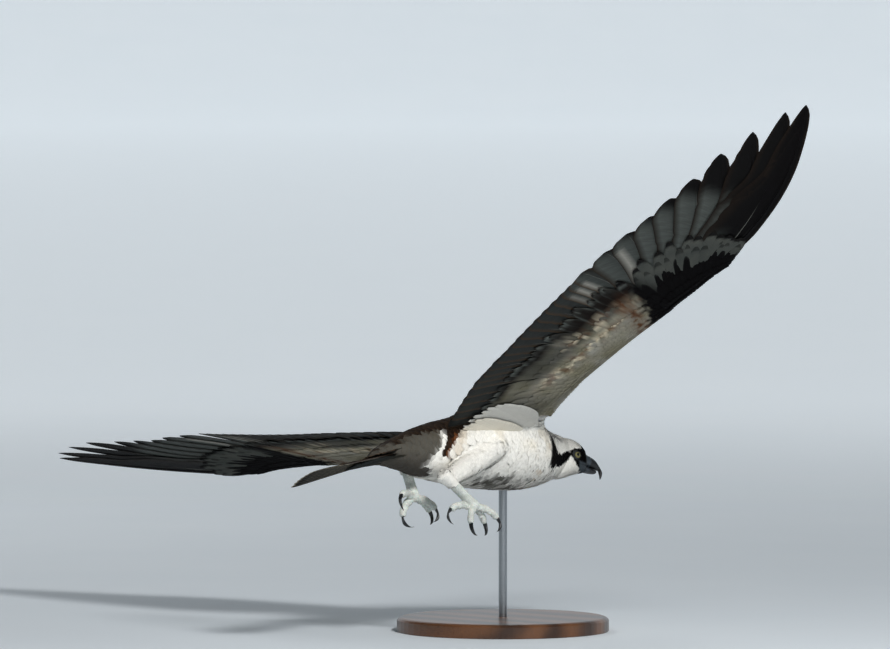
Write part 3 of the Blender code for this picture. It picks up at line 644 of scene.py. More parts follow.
@dataclass
class Skin:
    """One closed skin for the whole bird, with lids, brows, gape and scaly feet."""

    body_voxel: float = 0.0020
    head_voxel: float = 0.00062
    foot_voxel: float = 0.00075

    def trunk(self) -> bpy.types.Object:
        """Breast, belly, back and rump."""
        t = np.array(BODY.trunk)[::-1]
        s = np.linspace(t[0, 0] + 0.002, t[-1, 0], 70)
        top, low, half = spline(t[:, 0], t[:, 1:], s).T
        centres = np.stack([0 * s, -s, (top + low) / 2], -1)
        wide, tall = (np.maximum(v - BODY_DEPTH, 0.003) for v in (half, (top - low) / 2))
        return solid("trunk_flesh", ovals(centres, np.array([1, 0, 0]), np.array([0, 0, 1]), wide,
                                          tall, count=48, power=2.15))

    def neck(self) -> bpy.types.Object:
        """Neck, running on into trunk and head."""
        n = np.array(BODY.neck)
        first = n[0] + np.array([0, -0.020, -0.001, 0.0035, 0.004])
        last = n[-1] + np.array([-0.003, 0.008, -0.001, -0.004, -0.004])
        n = np.vstack([first, n, last])
        x, ahead, z, half, high = spline(n[:, 1], n, np.linspace(n[0, 1], n[-1, 1], 40)).T
        path = np.stack([x, -ahead, z], -1)
        depth = table(ahead, (0.09, BODY_DEPTH), (0.15, 0.0024))
        return solid("neck_flesh", along(path, half - depth, high - depth, np.array([0, 0, 1.0]),
                                         count=48, power=2.1))

    def skull(self) -> list[bpy.types.Object]:
        """Skull, brows and lids before they are fused."""
        h = np.array(BODY.head)
        s = np.linspace(h[0, 0], h[-1, 0], 60)
        top, low, half = spline(h[:, 0], h[:, 1:], s).T
        depth = table(s, (-0.03, HEAD_DEPTH * 1.5), (0.0, HEAD_DEPTH), (0.02, HEAD_DEPTH * 0.5))
        centres = np.stack([0 * s, -s, (top + low) / 2], -1)
        rings = ovals(centres, np.array([1, 0, 0]), np.array([0, 0, 1]), half - depth,
                      (top - low) / 2 - depth, count=64, power=2.1)
        parts = [solid("skull_flesh", BODY.from_head(rings))]
        for sign in (1, -1):
            a = np.linspace(0, 1, 15)
            brow = np.stack([sign * (0.0128 + 0.0062 * np.sin(math.pi * (0.15 + 0.7 * a))),
                             -0.0110 + 0.0225 * a,
                             0.0067 + 0.0022 * np.sin(math.pi * a) - 0.0035 * a**3], -1)
            wide = 0.0026 * np.sin(math.pi * np.clip(a * 0.92 + 0.04, 0, 1)) ** 0.6
            ridge = along(brow, wide, wide, np.array([0, 0, 1.0]))
            parts.append(solid("brow_flesh", BODY.from_head(ridge)))
            parts.append(self.lid(sign))
        return parts

    @staticmethod
    def eye_axes(sign: int) -> tuple[Array, Array, Array, Array]:
        """Centre of an eyeball, its outward axis and the two axes of its lids.

        Args:
            sign: 1 for the left eye, -1 for the right.

        Returns:
            Centre, outward, back and up, in the head frame.
        """
        centre = np.array([sign * BODY.eye_side, BODY.eye_back, -BODY.eye_drop])
        out = unit(np.array([sign * 1.0, -0.12, -0.03]))
        up = unit(np.array([0, 0, 1.0]) - out * out[2])
        return centre, out, np.cross(up, out) * sign, up

    def lid(self, sign: int) -> bpy.types.Object:
        """Ring of lid round the opening of one eye, heavier above."""
        centre, out, back, up = self.eye_axes(sign)
        a = np.linspace(0, math.tau, 49)[:-1]
        lift = np.cos(a)
        path = (centre + out * 0.0061 + back * np.sin(a)[:, None] * 0.0057
                + up * (lift * np.where(lift > 0, 0.0047, 0.0050))[:, None])
        path = np.vstack([path, path[:1]])
        thick = 0.00085 + 0.0003 * np.append(lift, 1.0)
        inward = unit(centre - path)
        ahead = unit(np.gradient(path, axis=0))
        ahead[0] = ahead[-1] = unit(path[1] - path[-2])
        rings = ovals(path, inward, np.cross(ahead, inward), thick * 1.3, thick, 12)
        verts = rings[:-1].reshape(-1, 3)
        k, n = 48, 12
        faces = [(i * n + j, i * n + (j + 1) % n, (i + 1) % k * n + (j + 1) % n,
                  (i + 1) % k * n + j) for i in range(k) for j in range(n)]
        obj = new_object("lid_flesh", BODY.from_head(verts), faces)
        face_outwards(obj)
        return obj

    def thigh(self, leg: int) -> bpy.types.Object:
        """Feathered shank from the flank to the heel."""
        knee, heel = np.array(BODY.knee[leg]), np.array(BODY.heel[leg])
        shares = np.array([-0.30, 0.0, 0.3, 0.6, 0.85, 1.0])
        sizes = np.array([(0.010, 0.010), (0.0172, 0.0180), (0.0190, 0.0184), (0.0170, 0.0170),
                          (0.0134, 0.0140), (0.0098, 0.0102)])
        marks = knee + (heel - knee) * shares[:, None]
        marks[0] = knee + np.array([(1, -1)[leg] * 0.024, -0.030, 0.002])      # sunk in the flank
        s = np.linspace(shares[0], shares[-1], 40)
        depth = table(s, (0.0, LEG_DEPTH), (0.8, LEG_DEPTH * 0.8), (1.0, LEG_DEPTH * 0.7))
        half = spline(shares, sizes, s) - depth[:, None]
        path = spline(shares, marks, s)
        return solid("thigh_flesh", along(path, half[:, 0], half[:, 1], np.array([0, 0, 1.0]), 40))

    def foot(self, leg: int) -> list[bpy.types.Object]:
        """Bare shank, toes and their pads."""
        heel, joint = np.array(BODY.heel[leg]), np.array(BODY.foot[leg])
        ahead = unit(joint - heel)
        s = np.linspace(0, 1, 24)
        path = (heel - ahead * 0.012) + (joint - heel + ahead * 0.014) * s[:, None]
        wide = table(s, (0, 0.0082), (0.25, 0.0074), (0.7, 0.0072), (0.9, 0.0084), (1, 0.0070))
        parts = [solid("shank_flesh", along(path, wide * 0.92, wide * 1.04, np.array([1.0, 0, 0])))]
        for k in range(4):
            toe, _ = BODY.toe(leg, k)
            s = np.linspace(0, 1, 6)
            t = np.linspace(0, 1, 40)
            line = spline(s, toe, t)
            radius = table(t, (0, 0.0064), (0.2, 0.0056), (0.4, 0.0052), (0.6, 0.0050),
                           (0.8, 0.0048), (0.94, 0.0044), (1, 0.0034))
            joints = 1.0 + 0.07 * np.cos(t * math.tau * 2.5) * np.sin(math.pi * t)
            out = unit(np.cross(toe[2] - toe[0], np.array([0, 0, 1.0])))
            parts.append(solid("toe_flesh", along(line, radius * joints * 0.94, radius * joints,
                                                  np.cross(out, unit(toe[-1] - toe[0])))))
            for at in (0.30, 0.62, 0.90):
                i = int(at * 39)
                belly = unit(np.cross(unit(line[min(i + 1, 39)] - line[i - 1]), out))
                under = belly[2] if abs(belly[2]) > 0.2 else belly @ (line[i] - joint)
                belly *= -np.sign(under)
                pad = line[i] + belly * radius[i] * 0.42
                parts.append(self.ball("pad_flesh", pad, radius[i] * 0.80))
        return parts

    @staticmethod
    def ball(name: str, centre: Array, radius: float) -> bpy.types.Object:
        """Plain ball, used to fuse or to cut."""
        bpy.ops.mesh.primitive_uv_sphere_add(segments=40, ring_count=24, radius=radius,
                                             location=tuple(centre))
        obj = bpy.context.active_object
        bpy.ops.object.transform_apply(location=True, rotation=True, scale=True)
        obj.name = name
        return obj

    @staticmethod
    def fuse(name: str, parts: list[bpy.types.Object], voxel: float,
             smooth: int) -> bpy.types.Object:
        """Join closed parts and remesh them to one skin.

        Args:
            name: Name of the result.
            parts: Closed meshes that overlap.
            voxel: Grain of the remesh.
            smooth: Rounds of smoothing afterwards.

        Returns:
            One closed mesh object.
        """
        select_only(*parts)
        bpy.ops.object.join()
        obj = bpy.context.active_object
        obj.name = name
        apply_modifier(obj, "REMESH", mode="VOXEL", voxel_size=voxel)
        put_in_order(obj)
        if smooth:
            apply_modifier(obj, "SMOOTH", factor=0.5, iterations=smooth)
        return obj

    @staticmethod
    def soften(obj: bpy.types.Object) -> None:
        """Round the hollows where thighs and wings leave the trunk."""
        points, _ = mesh_arrays(obj)
        share = np.zeros(len(points))
        for leg in (0, 1):
            hip = np.array(BODY.knee[leg]) + np.array([0, -0.012, 0.008])
            share = np.maximum(share, ease((0.046 - np.linalg.norm(points - hip, axis=1)) / 0.018))
        root = np.abs(np.abs(points[:, 0]) - SHOULDER_OUT) < 0.026
        share = np.maximum(share, 0.9 * (root & (points[:, 1] < 0.10) & (points[:, 1] > -0.07)))
        group = obj.vertex_groups.new(name="hollows")
        for level in (0.25, 0.5, 0.75, 1.0):
            near = np.flatnonzero(np.abs(share - level) <= 0.125)
            group.add(near.tolist(), level, "REPLACE")
        apply_modifier(obj, "SMOOTH", factor=0.5, iterations=45, vertex_group="hollows")
        obj.vertex_groups.clear()

    @staticmethod
    def combine(obj: bpy.types.Object, tool: bpy.types.Object, kind: str) -> None:
        """Boolean one closed skin with another and drop the second."""
        apply_modifier(obj, "BOOLEAN", operation=kind, solver="MANIFOLD", object=tool)
        bpy.data.objects.remove(tool, do_unlink=True)
        put_in_order(obj)

    def face(self, obj: bpy.types.Object) -> None:
        """Model the hollow before the eyes and the corner of the mouth."""
        points, normals = mesh_arrays(obj)
        h = BODY.to_head(points)
        side, ahead, z = np.abs(h[:, 0]), -h[:, 1], h[:, 2]
        lore = np.exp(-((ahead - 0.0105) / 0.0050) ** 2 - (z / 0.0052) ** 2) * (side > 0.006)
        line = -0.0118 - 0.10 * np.maximum(0.0, 0.012 - ahead)
        run = ease((ahead + 0.002) / 0.008)
        gape = np.exp(-((z - line) / 0.0007) ** 2) * run * (side > 0.004)
        rim = np.exp(-((np.abs(z - line) - 0.0014) / 0.0009) ** 2) * run * (side > 0.004)
        moved = points - normals * (lore * 0.0016 + gape * 0.0009 - rim * 0.0003)[:, None]
        move_points(obj, moved)

    def scales(self, obj: bpy.types.Object, leg: int) -> None:
        """Raise scutes along the toes and shank and pebbles round them."""
        points, normals = mesh_arrays(obj)
        joint, heel = np.array(BODY.foot[leg]), np.array(BODY.heel[leg])
        best = np.full(len(points), 1.0)
        run, top = np.zeros(len(points)), np.zeros(len(points))
        lines = [np.stack([heel + (joint - heel) * s for s in np.linspace(0, 1.05, 30)])]
        lines += [spline(np.linspace(0, 1, 6), BODY.toe(leg, k)[0], np.linspace(0, 1, 30))
                  for k in range(4)]
        for number, line in enumerate(lines):
            gap = np.linalg.norm(points[:, None] - line[None], axis=-1)
            near = gap.argmin(1)
            far = gap.min(1)
            step = np.linalg.norm(line[1] - line[0])
            ahead = unit(np.gradient(line, axis=0))[near]
            if number == 0:
                crest = np.broadcast_to(np.array([0, -0.8, 0.6]), ahead.shape)
            else:
                whole = np.broadcast_to(unit(line[-1] - line[0]), ahead.shape)
                crest = np.cross(np.cross(ahead, whole), ahead)
                crest = np.where(np.linalg.norm(crest, axis=1, keepdims=True) < 1e-6,
                                 np.array([0, 0, 1.0]), crest)
                crest = unit(crest) * np.sign(crest[:, 2:3] + 1e-9)
            crest = unit(crest - ahead * np.sum(crest * ahead, -1, keepdims=True))
            offset = np.sum((points - line[near]) * ahead, -1)
            win = far < best
            best = np.where(win, far, best)
            run = np.where(win, near * step + offset + number * 0.3, run)
            top = np.where(win, np.sum(normals * crest, -1), top)
        upper = ease((top - 0.25) / 0.4)
        scute = 1.0 - np.abs(np.sin(math.pi * run / 0.0026)) ** 6 * 1.4
        pebble = 1.0 - 2.4 * np.abs(dapple(points, 0.0013, 3) - 0.5)
        raised = upper * scute * 0.00016 + (1 - upper) * pebble * 0.00022
        moved = points + normals * (raised - 0.00010)[:, None]
        move_points(obj, moved)

    def build(self) -> bpy.types.Object:
        """Make the skin in the level bird's frame.

        Returns:
            The closed skin, still unposed.
        """
        body = [self.trunk(), self.neck(), self.thigh(0), self.thigh(1), RIGHT_WING.flesh(),
                LEFT_WING.flesh()]
        skin = self.fuse("skin", body, self.body_voxel, smooth=6)
        self.soften(skin)
        apply_modifier(skin, "DECIMATE", ratio=0.40)
        head = self.fuse("head_skin", self.skull(), self.head_voxel, smooth=3)
        self.face(head)
        for sign in (1, -1):
            centre = self.eye_axes(sign)[0]
            hole = self.ball("socket", BODY.from_head(centre), BODY.eye_radius + 0.00015)
            self.combine(head, hole, "DIFFERENCE")
        self.combine(skin, head, "UNION")
        for leg in (0, 1):
            limb = self.fuse("foot_skin", self.foot(leg), self.foot_voxel, smooth=2)
            self.scales(limb, leg)
            self.combine(skin, limb, "UNION")
        log.info("skin: %d triangles", sum(len(p.vertices) - 2 for p in skin.data.polygons))
        return skin


# ---------------------------------------------------------------------- markings
class Markings:
    """Where the bird is white, brown and black, and where painted shade darkens it; skin and coat
    both ask here.
    """

    def head(self, points: Array) -> tuple[Array, Array]:
        """Colours of the head and how dark the mask is.

        Args:
            points: Points of the level bird.

        Returns:
            Linear colours and the share of black mask.
        """
        h = BODY.to_head(points)
        side, ahead, z = np.abs(h[:, 0]), -h[:, 1], h[:, 2]
        rough = (dapple(points, 0.0035, 5) - 0.5) * 0.0035
        high = table(ahead, (-0.062, 0.010), (-0.0569, 0.0061), (-0.052, -0.002),
                     (-0.0478, -0.0073), (-0.043, -0.0115), (-0.0347, -0.0095), (-0.0254, -0.0035),
                     (-0.0198, -0.0003), (-0.0142, -0.0003), (-0.0107, 0.0031), (-0.005, 0.0070),
                     (0.0006, 0.0078), (0.006, 0.0095), (0.0085, 0.016), (0.010, 0.030))
        low = table(ahead, (-0.066, -0.036), (-0.0602, -0.0349), (-0.047, -0.0300),
                    (-0.034, -0.0250), (-0.0235, -0.0180), (-0.0174, -0.0122), (-0.0142, -0.0060),
                    (-0.0105, -0.0075), (-0.0081, -0.0101), (-0.002, -0.0140), (0.0032, -0.0174),
                    (0.0063, -0.0194), (0.0085, -0.026), (0.010, -0.040))
        edge = 0.0014
        flank = np.maximum(ease((side - 0.0035) / 0.004), ease((ahead - 0.0085) / 0.003))
        mask = (ease((high + rough - z) / edge + 0.5) * ease((z - low + rough) / edge + 0.5)
                * flank * ease((ahead + 0.066) / 0.005))
        crown = ease((z - 0.012) / 0.006) * ease((0.010 - side) / 0.006)
        streak = crown * ease((dapple(points * np.array([2.2, 0.6, 1.0]), 0.004, 9) - 0.52) / 0.2)
        nape = ease((-0.018 - ahead) / 0.02) * ease((z - 0.004) / 0.012)
        freckled = nape * ease((dapple(points, 0.0050, 4) - 0.38) / 0.25)
        dark = np.clip(streak * 0.55 + freckled * 0.75, 0, 0.9)
        colour = mix(Plumage.WHITE.rgb, Plumage.BROWN.rgb, dark)
        gape = ease((ahead - 0.0015 + 0.35 * (z + 0.012)) / 0.004) * ease((-0.0075 - z) / 0.003)
        black = mix(Plumage.BLACK.rgb, linear("5C646A"), 0.75 * gape)
        return mix(colour, black, mask), mask

    def body(self, points: Array) -> Array:
        """Linear colours of body, neck, head and thighs at points of the level bird."""
        y, z = points[:, 1], points[:, 2]
        rough = (dapple(points, 0.010, 1) - 0.5) * 0.010 + (dapple(points, 0.0035, 2) - 0.5) * 0.004
        slant = y + 0.6 * (z + 0.02) * ease((y - 0.07) / 0.03)
        line = table(slant, (-0.12, 0.012), (-0.09, 0.010), (-0.06, 0.014), (0.0, 0.018),
                     (0.06, 0.012), (0.098, -0.004), (0.108, -0.034), (0.113, -0.052),
                     (0.122, -0.053), (0.128, -0.024), (0.160, -0.022), (0.20, -0.044),
                     (0.245, -0.060))
        back = ease((z - line + rough) / 0.005 + 0.5)
        warm = ease((dapple(points, 0.022, 6) - 0.45) / 0.3)
        warm = warm * ease((0.035 - np.abs(z + 0.01)) / 0.02)
        colour = mix(Plumage.WHITE.rgb, Plumage.CREAM.rgb, warm * 0.35)
        # painted shade: behind a slanting line the rear belly, vent and the far thigh, white in
        # life, are painted dark olive for the shade they lie in, darker towards the bottom
        start = table(z, (-0.080, 0.090), (-0.073, 0.108), (-0.066, 0.136), (0.0, 0.136))
        # the legs keep their white on the outer side; the far leg keeps less of it, so that its
        # thigh takes the painted shade
        limb = np.zeros(len(points))
        for knee, heel, foot, inward in zip(BODY.knee, BODY.heel, BODY.foot, (0.010, -0.006)):
            for a, b, reach in ((knee, heel, 0.021), (heel, foot, 0.013)):
                _, gap = from_limb(points, a, b)
                outer = ease((gap[:, 0] * np.sign(knee[0]) + inward + rough) / 0.006)
                far = np.linalg.norm(gap, axis=1)
                limb = np.maximum(limb, ease((reach + rough - far) / 0.003) * outer)
        rear_shade_share = ease((slant - start + rough) / 0.008 + 0.5) * (1 - limb)
        rear_shade_colour = mix(Plumage.OLIVE.rgb, Plumage.DARK.rgb, 0.8 * ease((-0.050 - z) / 0.02))
        colour = mix(colour, rear_shade_colour, rear_shade_share * 0.94)
        # painted shade along the belly's lower edge: dark olive where light from above does not
        # reach, the legs kept white
        keel_shade = ease((-0.063 - 0.10 * np.maximum(y, 0) - z + 1.4 * rough) / 0.010)
        keel_shade = ease((y + 0.105) / 0.03) * keel_shade
        colour = mix(colour, Plumage.OLIVE.rgb, keel_shade * (1 - limb) * 0.88)
        speck = (ease((dapple(points, 0.0065, 7) - 0.70) / 0.1) * ease((-y - 0.03) / 0.03)
                 * ease((y + 0.105) / 0.02) * ease((-z - 0.010) / 0.02))
        colour = mix(colour, Plumage.BUFF.rgb, speck * 0.45)
        mottle = dapple(points, 0.016, 8)
        brown = mix(Plumage.BLACK.rgb, Plumage.BROWN.rgb, 0.12 + 0.38 * mottle)
        tongue = ease((0.006 - np.abs(slant - 0.112)) / 0.005) * ease((-0.018 - z) / 0.01)
        brown = mix(brown, Plumage.RUST.rgb, 0.75 * tongue)
        stain = (ease((0.012 - np.abs(slant - 0.101)) / 0.010)
                 * ease((0.022 - np.abs(z + 0.034)) / 0.010))
        colour = mix(colour, Plumage.BUFF.rgb, 0.40 * stain)
        colour = mix(colour, brown, back)
        head, _ = self.head(points)
        ahead = -BODY.to_head(points)[:, 1]
        share = ease((ahead + 0.070) / 0.010)
        return mix(colour, head, share)


MARKINGS = Markings()


# ---------------------------------------------------------------------- feathers
@dataclass
class Coat:
    """Closed thin feathers gathered into one piece."""

    name: str
    points: list[Array] = field(default_factory=list)
    tints: list[Array] = field(default_factory=list)
    vanes: list[Array] = field(default_factory=list)
    bakes: list[Array] = field(default_factory=list)
    bars: list[Array] = field(default_factory=list)
    shapes: list[tuple[int, int]] = field(default_factory=list)

    def add(self, top: Array, below: Array, tint_top: Array, tint_below: Array, vane: Array,
            bake: Array, bar_top: Array | float = 0.0, bar_below: Array | float = 0.0) -> None:
        """Add feathers of equal grain.

        Args:
            top: Upper points, feathers by rows by columns by 3, root row first and the
                column order against (length x normal).
            below: Under points in the same order; the edges are the upper ones.
            tint_top: Linear colours of the upper points.
            tint_below: Linear colours of the under points.
            vane: Across and along each feather in centimetres.
            bake: Place of each point on the bake's map.
            bar_top: Strength of bars at the upper points.
            bar_below: Strength of bars at the under points.
        """
        n, rows, columns, _ = top.shape
        inner = slice(-2, 0, -1)
        bar_top, bar_below = (np.broadcast_to(b, top.shape[:3])[..., None]
                              for b in (bar_top, bar_below))
        for store, above, under in ((self.points, top, below), (self.vanes, vane, vane),
                                    (self.tints, tint_top, tint_below), (self.bakes, bake, bake),
                                    (self.bars, bar_top, bar_below)):
            both = np.concatenate([above, under[:, :, inner]], 2)
            store.append(both.reshape(-1, both.shape[-1]))
        self.shapes += [(rows, 2 * columns - 2)] * n

    def triangles(self) -> int:
        """Triangles gathered so far."""
        return sum((rows - 1) * ring * 2 + (ring - 2) * 2 for rows, ring in self.shapes)

    def build(self, material: bpy.types.Material) -> bpy.types.Object:
        """Make the piece.

        Args:
            material: Its finish.

        Returns:
            The mesh object, turned to the bird's attitude.
        """
        points = posed(np.concatenate(self.points))
        loops, sizes, start = [], [], 0
        for shape, run in groupby(self.shapes):
            count, step = len(list(run)), shape[0] * shape[1]
            corner, size = self.template(*shape)
            loops.append((corner[None] + (np.arange(count) * step + start)[:, None]).ravel())
            sizes.append(np.tile(size, count))
            start += step * count
        corners, sizes = np.concatenate(loops), np.concatenate(sizes)
        mesh = bpy.data.meshes.new(self.name)
        mesh.vertices.add(len(points))
        mesh.vertices.foreach_set("co", points.astype(np.float32).ravel())
        mesh.loops.add(len(corners))
        mesh.loops.foreach_set("vertex_index", corners.astype(np.int32))
        mesh.polygons.add(len(sizes))
        starts = np.concatenate([[0], np.cumsum(sizes)[:-1]])
        mesh.polygons.foreach_set("loop_start", starts.astype(np.int32))
        mesh.polygons.foreach_set("loop_total", sizes.astype(np.int32))
        mesh.update(calc_edges=True)
        mesh.polygons.foreach_set("use_smooth", np.ones(len(sizes), bool))
        for title, data in (("OFBake", self.bakes), ("vane", self.vanes)):
            layer = mesh.uv_layers.new(name=title)
            layer.data.foreach_set("uv", np.concatenate(data)[corners].astype(np.float32).ravel())
        set_tint(mesh, np.concatenate(self.tints))
        set_value(mesh, "bars", np.concatenate(self.bars))
        mesh.set_sharp_from_angle(angle=math.radians(SHARP_EDGE))
        mesh.materials.append(material)
        obj = bpy.data.objects.new(self.name, mesh)
        bpy.context.collection.objects.link(obj)
        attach(obj, "root")
        log.info("%s: %d feathers, %d triangles", self.name, len(self.shapes), self.triangles())
        return obj

    @staticmethod
    def template(rows: int, ring: int) -> tuple[Array, Array]:
        """Corners and face sizes of one closed feather."""
        r, m = np.meshgrid(np.arange(rows - 1), np.arange(ring), indexing="ij")
        a, b = r * ring + m, r * ring + (m + 1) % ring
        quads = np.stack([a, b, b + ring, a + ring], -1).reshape(-1)
        root = np.arange(ring)[::-1]
        tip = np.arange(ring) + (rows - 1) * ring
        sizes = np.concatenate([np.full((rows - 1) * ring, 4), [ring, ring]])
        return np.concatenate([quads, root, tip]), sizes


def across(columns: int) -> Array:
    """Column places from one edge of a feather, -1, to the other, 1."""
    return np.linspace(-1.0, 1.0, columns)


def vane_map(c: Array, t: Array, length: Array) -> Array:
    """Distances across and along feathers, in centimetres.

    Args:
        c: Distances from the shaft, feathers by rows by columns.
        t: Shares of the length.
        length: Lengths of the feathers.

    Returns:
        Two numbers for each point.
    """
    run = np.broadcast_to((t[None] * length[:, None])[..., None], c.shape)
    return np.stack([c, run], -1) * 100.0


def tuft_map(spot: Array, t: Array, x: Array) -> Array:
    """Places of small feathers' points on the bake's map, round the places of their roots."""
    patch = np.stack(np.broadcast_arrays(x[None, None] / 2, t[None, :, None]), -1) * PATCH
    return np.clip(spot[:, None, None] + patch, 0.0, 1.0)


def quill_map(number: Array, total: int, t: Array, cross: Array) -> Array:
    """Places of quills' points on the bake's map, one lane for each quill."""
    lane = (number[:, None, None] + 0.5 + 0.42 * cross[None, None]) / total
    return np.stack(np.broadcast_arrays(lane, 0.02 + 0.96 * t[None, :, None]), -1)


def leading(ahead: Array) -> Array:
    """Plan directions square to the shafts, towards the leading edge."""
    return np.stack([ahead[..., 1], -ahead[..., 0]], -1)


def oval_outline(t: Array, blunt: float = 2.4) -> Array:
    """Half-width share of a contour feather along its length, round at the tip."""
    body = 0.45 + 0.55 * ease(t / 0.45)
    tip = np.sqrt(np.clip(1.0 - np.clip((t - 0.45) / 0.56, 0, 1) ** blunt, 0.01, 1.0))
    return body * tip


@dataclass
class BodyCoat:
    """Contour feathers scattered over the skin and laid along it."""

    skin: bpy.types.Object
    seed: int = 11
    tilt_noise: float = 0.0004

    def __post_init__(self) -> None:
        """Read the skin once."""
        mesh = self.skin.data
        mesh.calc_loop_triangles()
        self.points, self.normals = mesh_arrays(self.skin)
        tris = np.empty(len(mesh.loop_triangles) * 3, np.int32)
        mesh.loop_triangles.foreach_get("vertices", tris)
        self.tris = tris.reshape(-1, 3)
        self.tree = BVHTree.FromPolygons(self.points.tolist(), self.tris.tolist())
        self.rng = np.random.default_rng(self.seed)

    def zones(self, p: Array) -> dict[str, Array]:
        """Shares of the coat's zones at points, and their places in the head's frame."""
        h = BODY.to_head(p)
        ahead = -h[:, 1]
        legs, lower = np.zeros(len(p)), np.zeros(len(p))
        for leg in (0, 1):
            s, gap = from_limb(p, BODY.knee[leg], BODY.heel[leg])
            far = np.linalg.norm(gap, axis=1)
            near = (far < table(s, (0, 0.0215), (0.5, 0.0205), (1, 0.0140))) & (s > -0.05)
            below = p[:, 2] < (-0.030, -0.027)[leg]
            legs = np.maximum(legs, near & (below | (s > 0.55)))
            lower = np.maximum(lower, ease((s - 0.45) / 0.5) * near)
            toe = np.linalg.norm(p - np.array(BODY.foot[leg]), axis=1)
            lower = np.maximum(lower, toe < 0.05)
        return {"head": ease((ahead + 0.045) / 0.02), "legs": legs.astype(float), "lower": lower,
                "ahead": ahead, "side": np.abs(h[:, 0]), "z": h[:, 2], "x": np.abs(p[:, 0])}

    def length(self, p: Array) -> Array:
        """Feather length at points of the level bird."""
        zone = self.zones(p)
        y, z = p[:, 1], p[:, 2]
        size = table(y, (-0.14, 0.0090), (-0.10, 0.0115), (-0.06, 0.0145), (0.0, 0.017),
                     (0.10, 0.020), (0.18, 0.024), (0.25, 0.028))
        above = ease((z - table(y, (0, 0.006), (0.15, -0.03), (0.25, -0.055))) / 0.02)
        scapular = (above * ease((zone["x"] - 0.026) / 0.014) * ease((y + 0.045) / 0.04)
                    * ease((0.09 - y) / 0.04))
        size = size * (1.0 + 0.20 * above) + scapular * 0.026
        pit = (ease((zone["x"] - 0.052) / 0.010) * ease((0.008 - z) / 0.01)
               * ease((y + 0.02) / 0.03) * ease((z + 0.04) / 0.02))
        size = size * (1.0 - 0.35 * ease((zone["x"] - 0.050) / 0.010)) + pit * 0.003
        size = np.where(zone["legs"] > 0.5, 0.0125 - 0.0060 * zone["lower"], size)
        face = table(zone["ahead"], (-0.045, 0.0080), (-0.025, 0.0060), (-0.005, 0.0042),
                     (0.010, 0.0030), (0.020, 0.0023))
        eye = np.hypot(zone["ahead"] + BODY.eye_back, zone["z"] + BODY.eye_drop)
        face = np.minimum(face, np.maximum(0.0021, 0.0021 + (eye - 0.006) * 0.33))
        return size * (1 - zone["head"]) + np.minimum(size, face) * zone["head"]

    def depth(self, p: Array) -> Array:
        """Height of the feather tips over the skin."""
        zone = self.zones(p)
        body = np.full(len(p), BODY_DEPTH)
        body = np.where(zone["legs"] > 0.5, LEG_DEPTH * (1 - 0.25 * zone["lower"]), body)
        wing = ease((zone["x"] - 0.056) / 0.01) * (p[:, 1] < 0.09)
        body = body * (1 - wing) + 0.0026 * wing
        face = table(zone["ahead"], (-0.045, 0.0026), (-0.02, HEAD_DEPTH * 1.35), (0.0, HEAD_DEPTH),
                     (0.02, HEAD_DEPTH * 0.6))
        return body * (1 - zone["head"]) + face * zone["head"]

    def bare(self, p: Array) -> Array:
        """Where no feather grows: eyes, lores' edge, feet and the outer wing."""
        zone = self.zones(p)
        ahead, side, z = zone["ahead"], zone["side"], zone["z"]
        eye = np.hypot((ahead + 0.0017) / 0.0068, (z + BODY.eye_drop) / 0.0062) < 1.0
        eye &= side > 0.013
        bill = ahead > 0.0188
        ends = p[:, 1] > 0.045
        none = eye | bill | (zone["x"] > 0.066) | ((zone["x"] > 0.058) & ends)
        for leg in (0, 1):
            s, gap = from_limb(p, BODY.heel[leg], BODY.foot[leg], 2.0)
            none |= (s > 0.22) & (np.linalg.norm(gap, axis=1) < 0.013)
            none |= on_foot(p, leg, 0.045)
        return none

    def flow(self, p: Array) -> Array:
        """Lie of the coat at points of the level bird, not yet flattened to the skin."""
        zone = self.zones(p)
        sign = np.sign(p[:, 0] + 1e-9)
        lie = np.stack([0 * p[:, 0], np.ones(len(p)), -0.10 - 0 * p[:, 0]], -1)
        lie[:, 0] += sign * 0.10 * ease((zone["x"] - 0.02) / 0.03) * (p[:, 1] < 0.08)
        pit = ease((zone["x"] - 0.050) / 0.012)
        lie[:, 0] += sign * pit * 0.55
        neck = ease((-p[:, 1] - 0.085) / 0.03)
        lie = lie * (1 - neck)[:, None] + neck[:, None] * np.array([0.25, 1.0, -0.02])
        m = np.array(BODY.head_matrix())[:3, :3]
        h = BODY.to_head(p)
        local = np.stack([h[:, 0] * 0, np.ones(len(p)), 0 * h[:, 0]], -1)
        lid = h[:, 2] + BODY.eye_drop
        around = np.exp(-(np.hypot(h[:, 1] - BODY.eye_back, lid) / 0.011) ** 2)
        local[:, 2] += np.sign(lid) * around * 0.8
        fan = ease((-h[:, 1] - 0.004) / 0.014)
        local[:, 2] += fan * h[:, 2] / 0.012 * 0.6
        local[:, 0] += fan * h[:, 0] / 0.012 * 0.5
        lie = lie * (1 - zone["head"])[:, None] + (local @ m.T) * zone["head"][:, None]
        for leg in (0, 1):
            knee, heel = np.array(BODY.knee[leg]), np.array(BODY.heel[leg])
            axis = unit(heel - knee)
            mine = (zone["legs"] > 0.5) & (np.sign(p[:, 0]) == (-1, 1)[leg])
            lie[mine] = axis + np.array([0.0, 0.10, -0.10])
        return unit(lie)

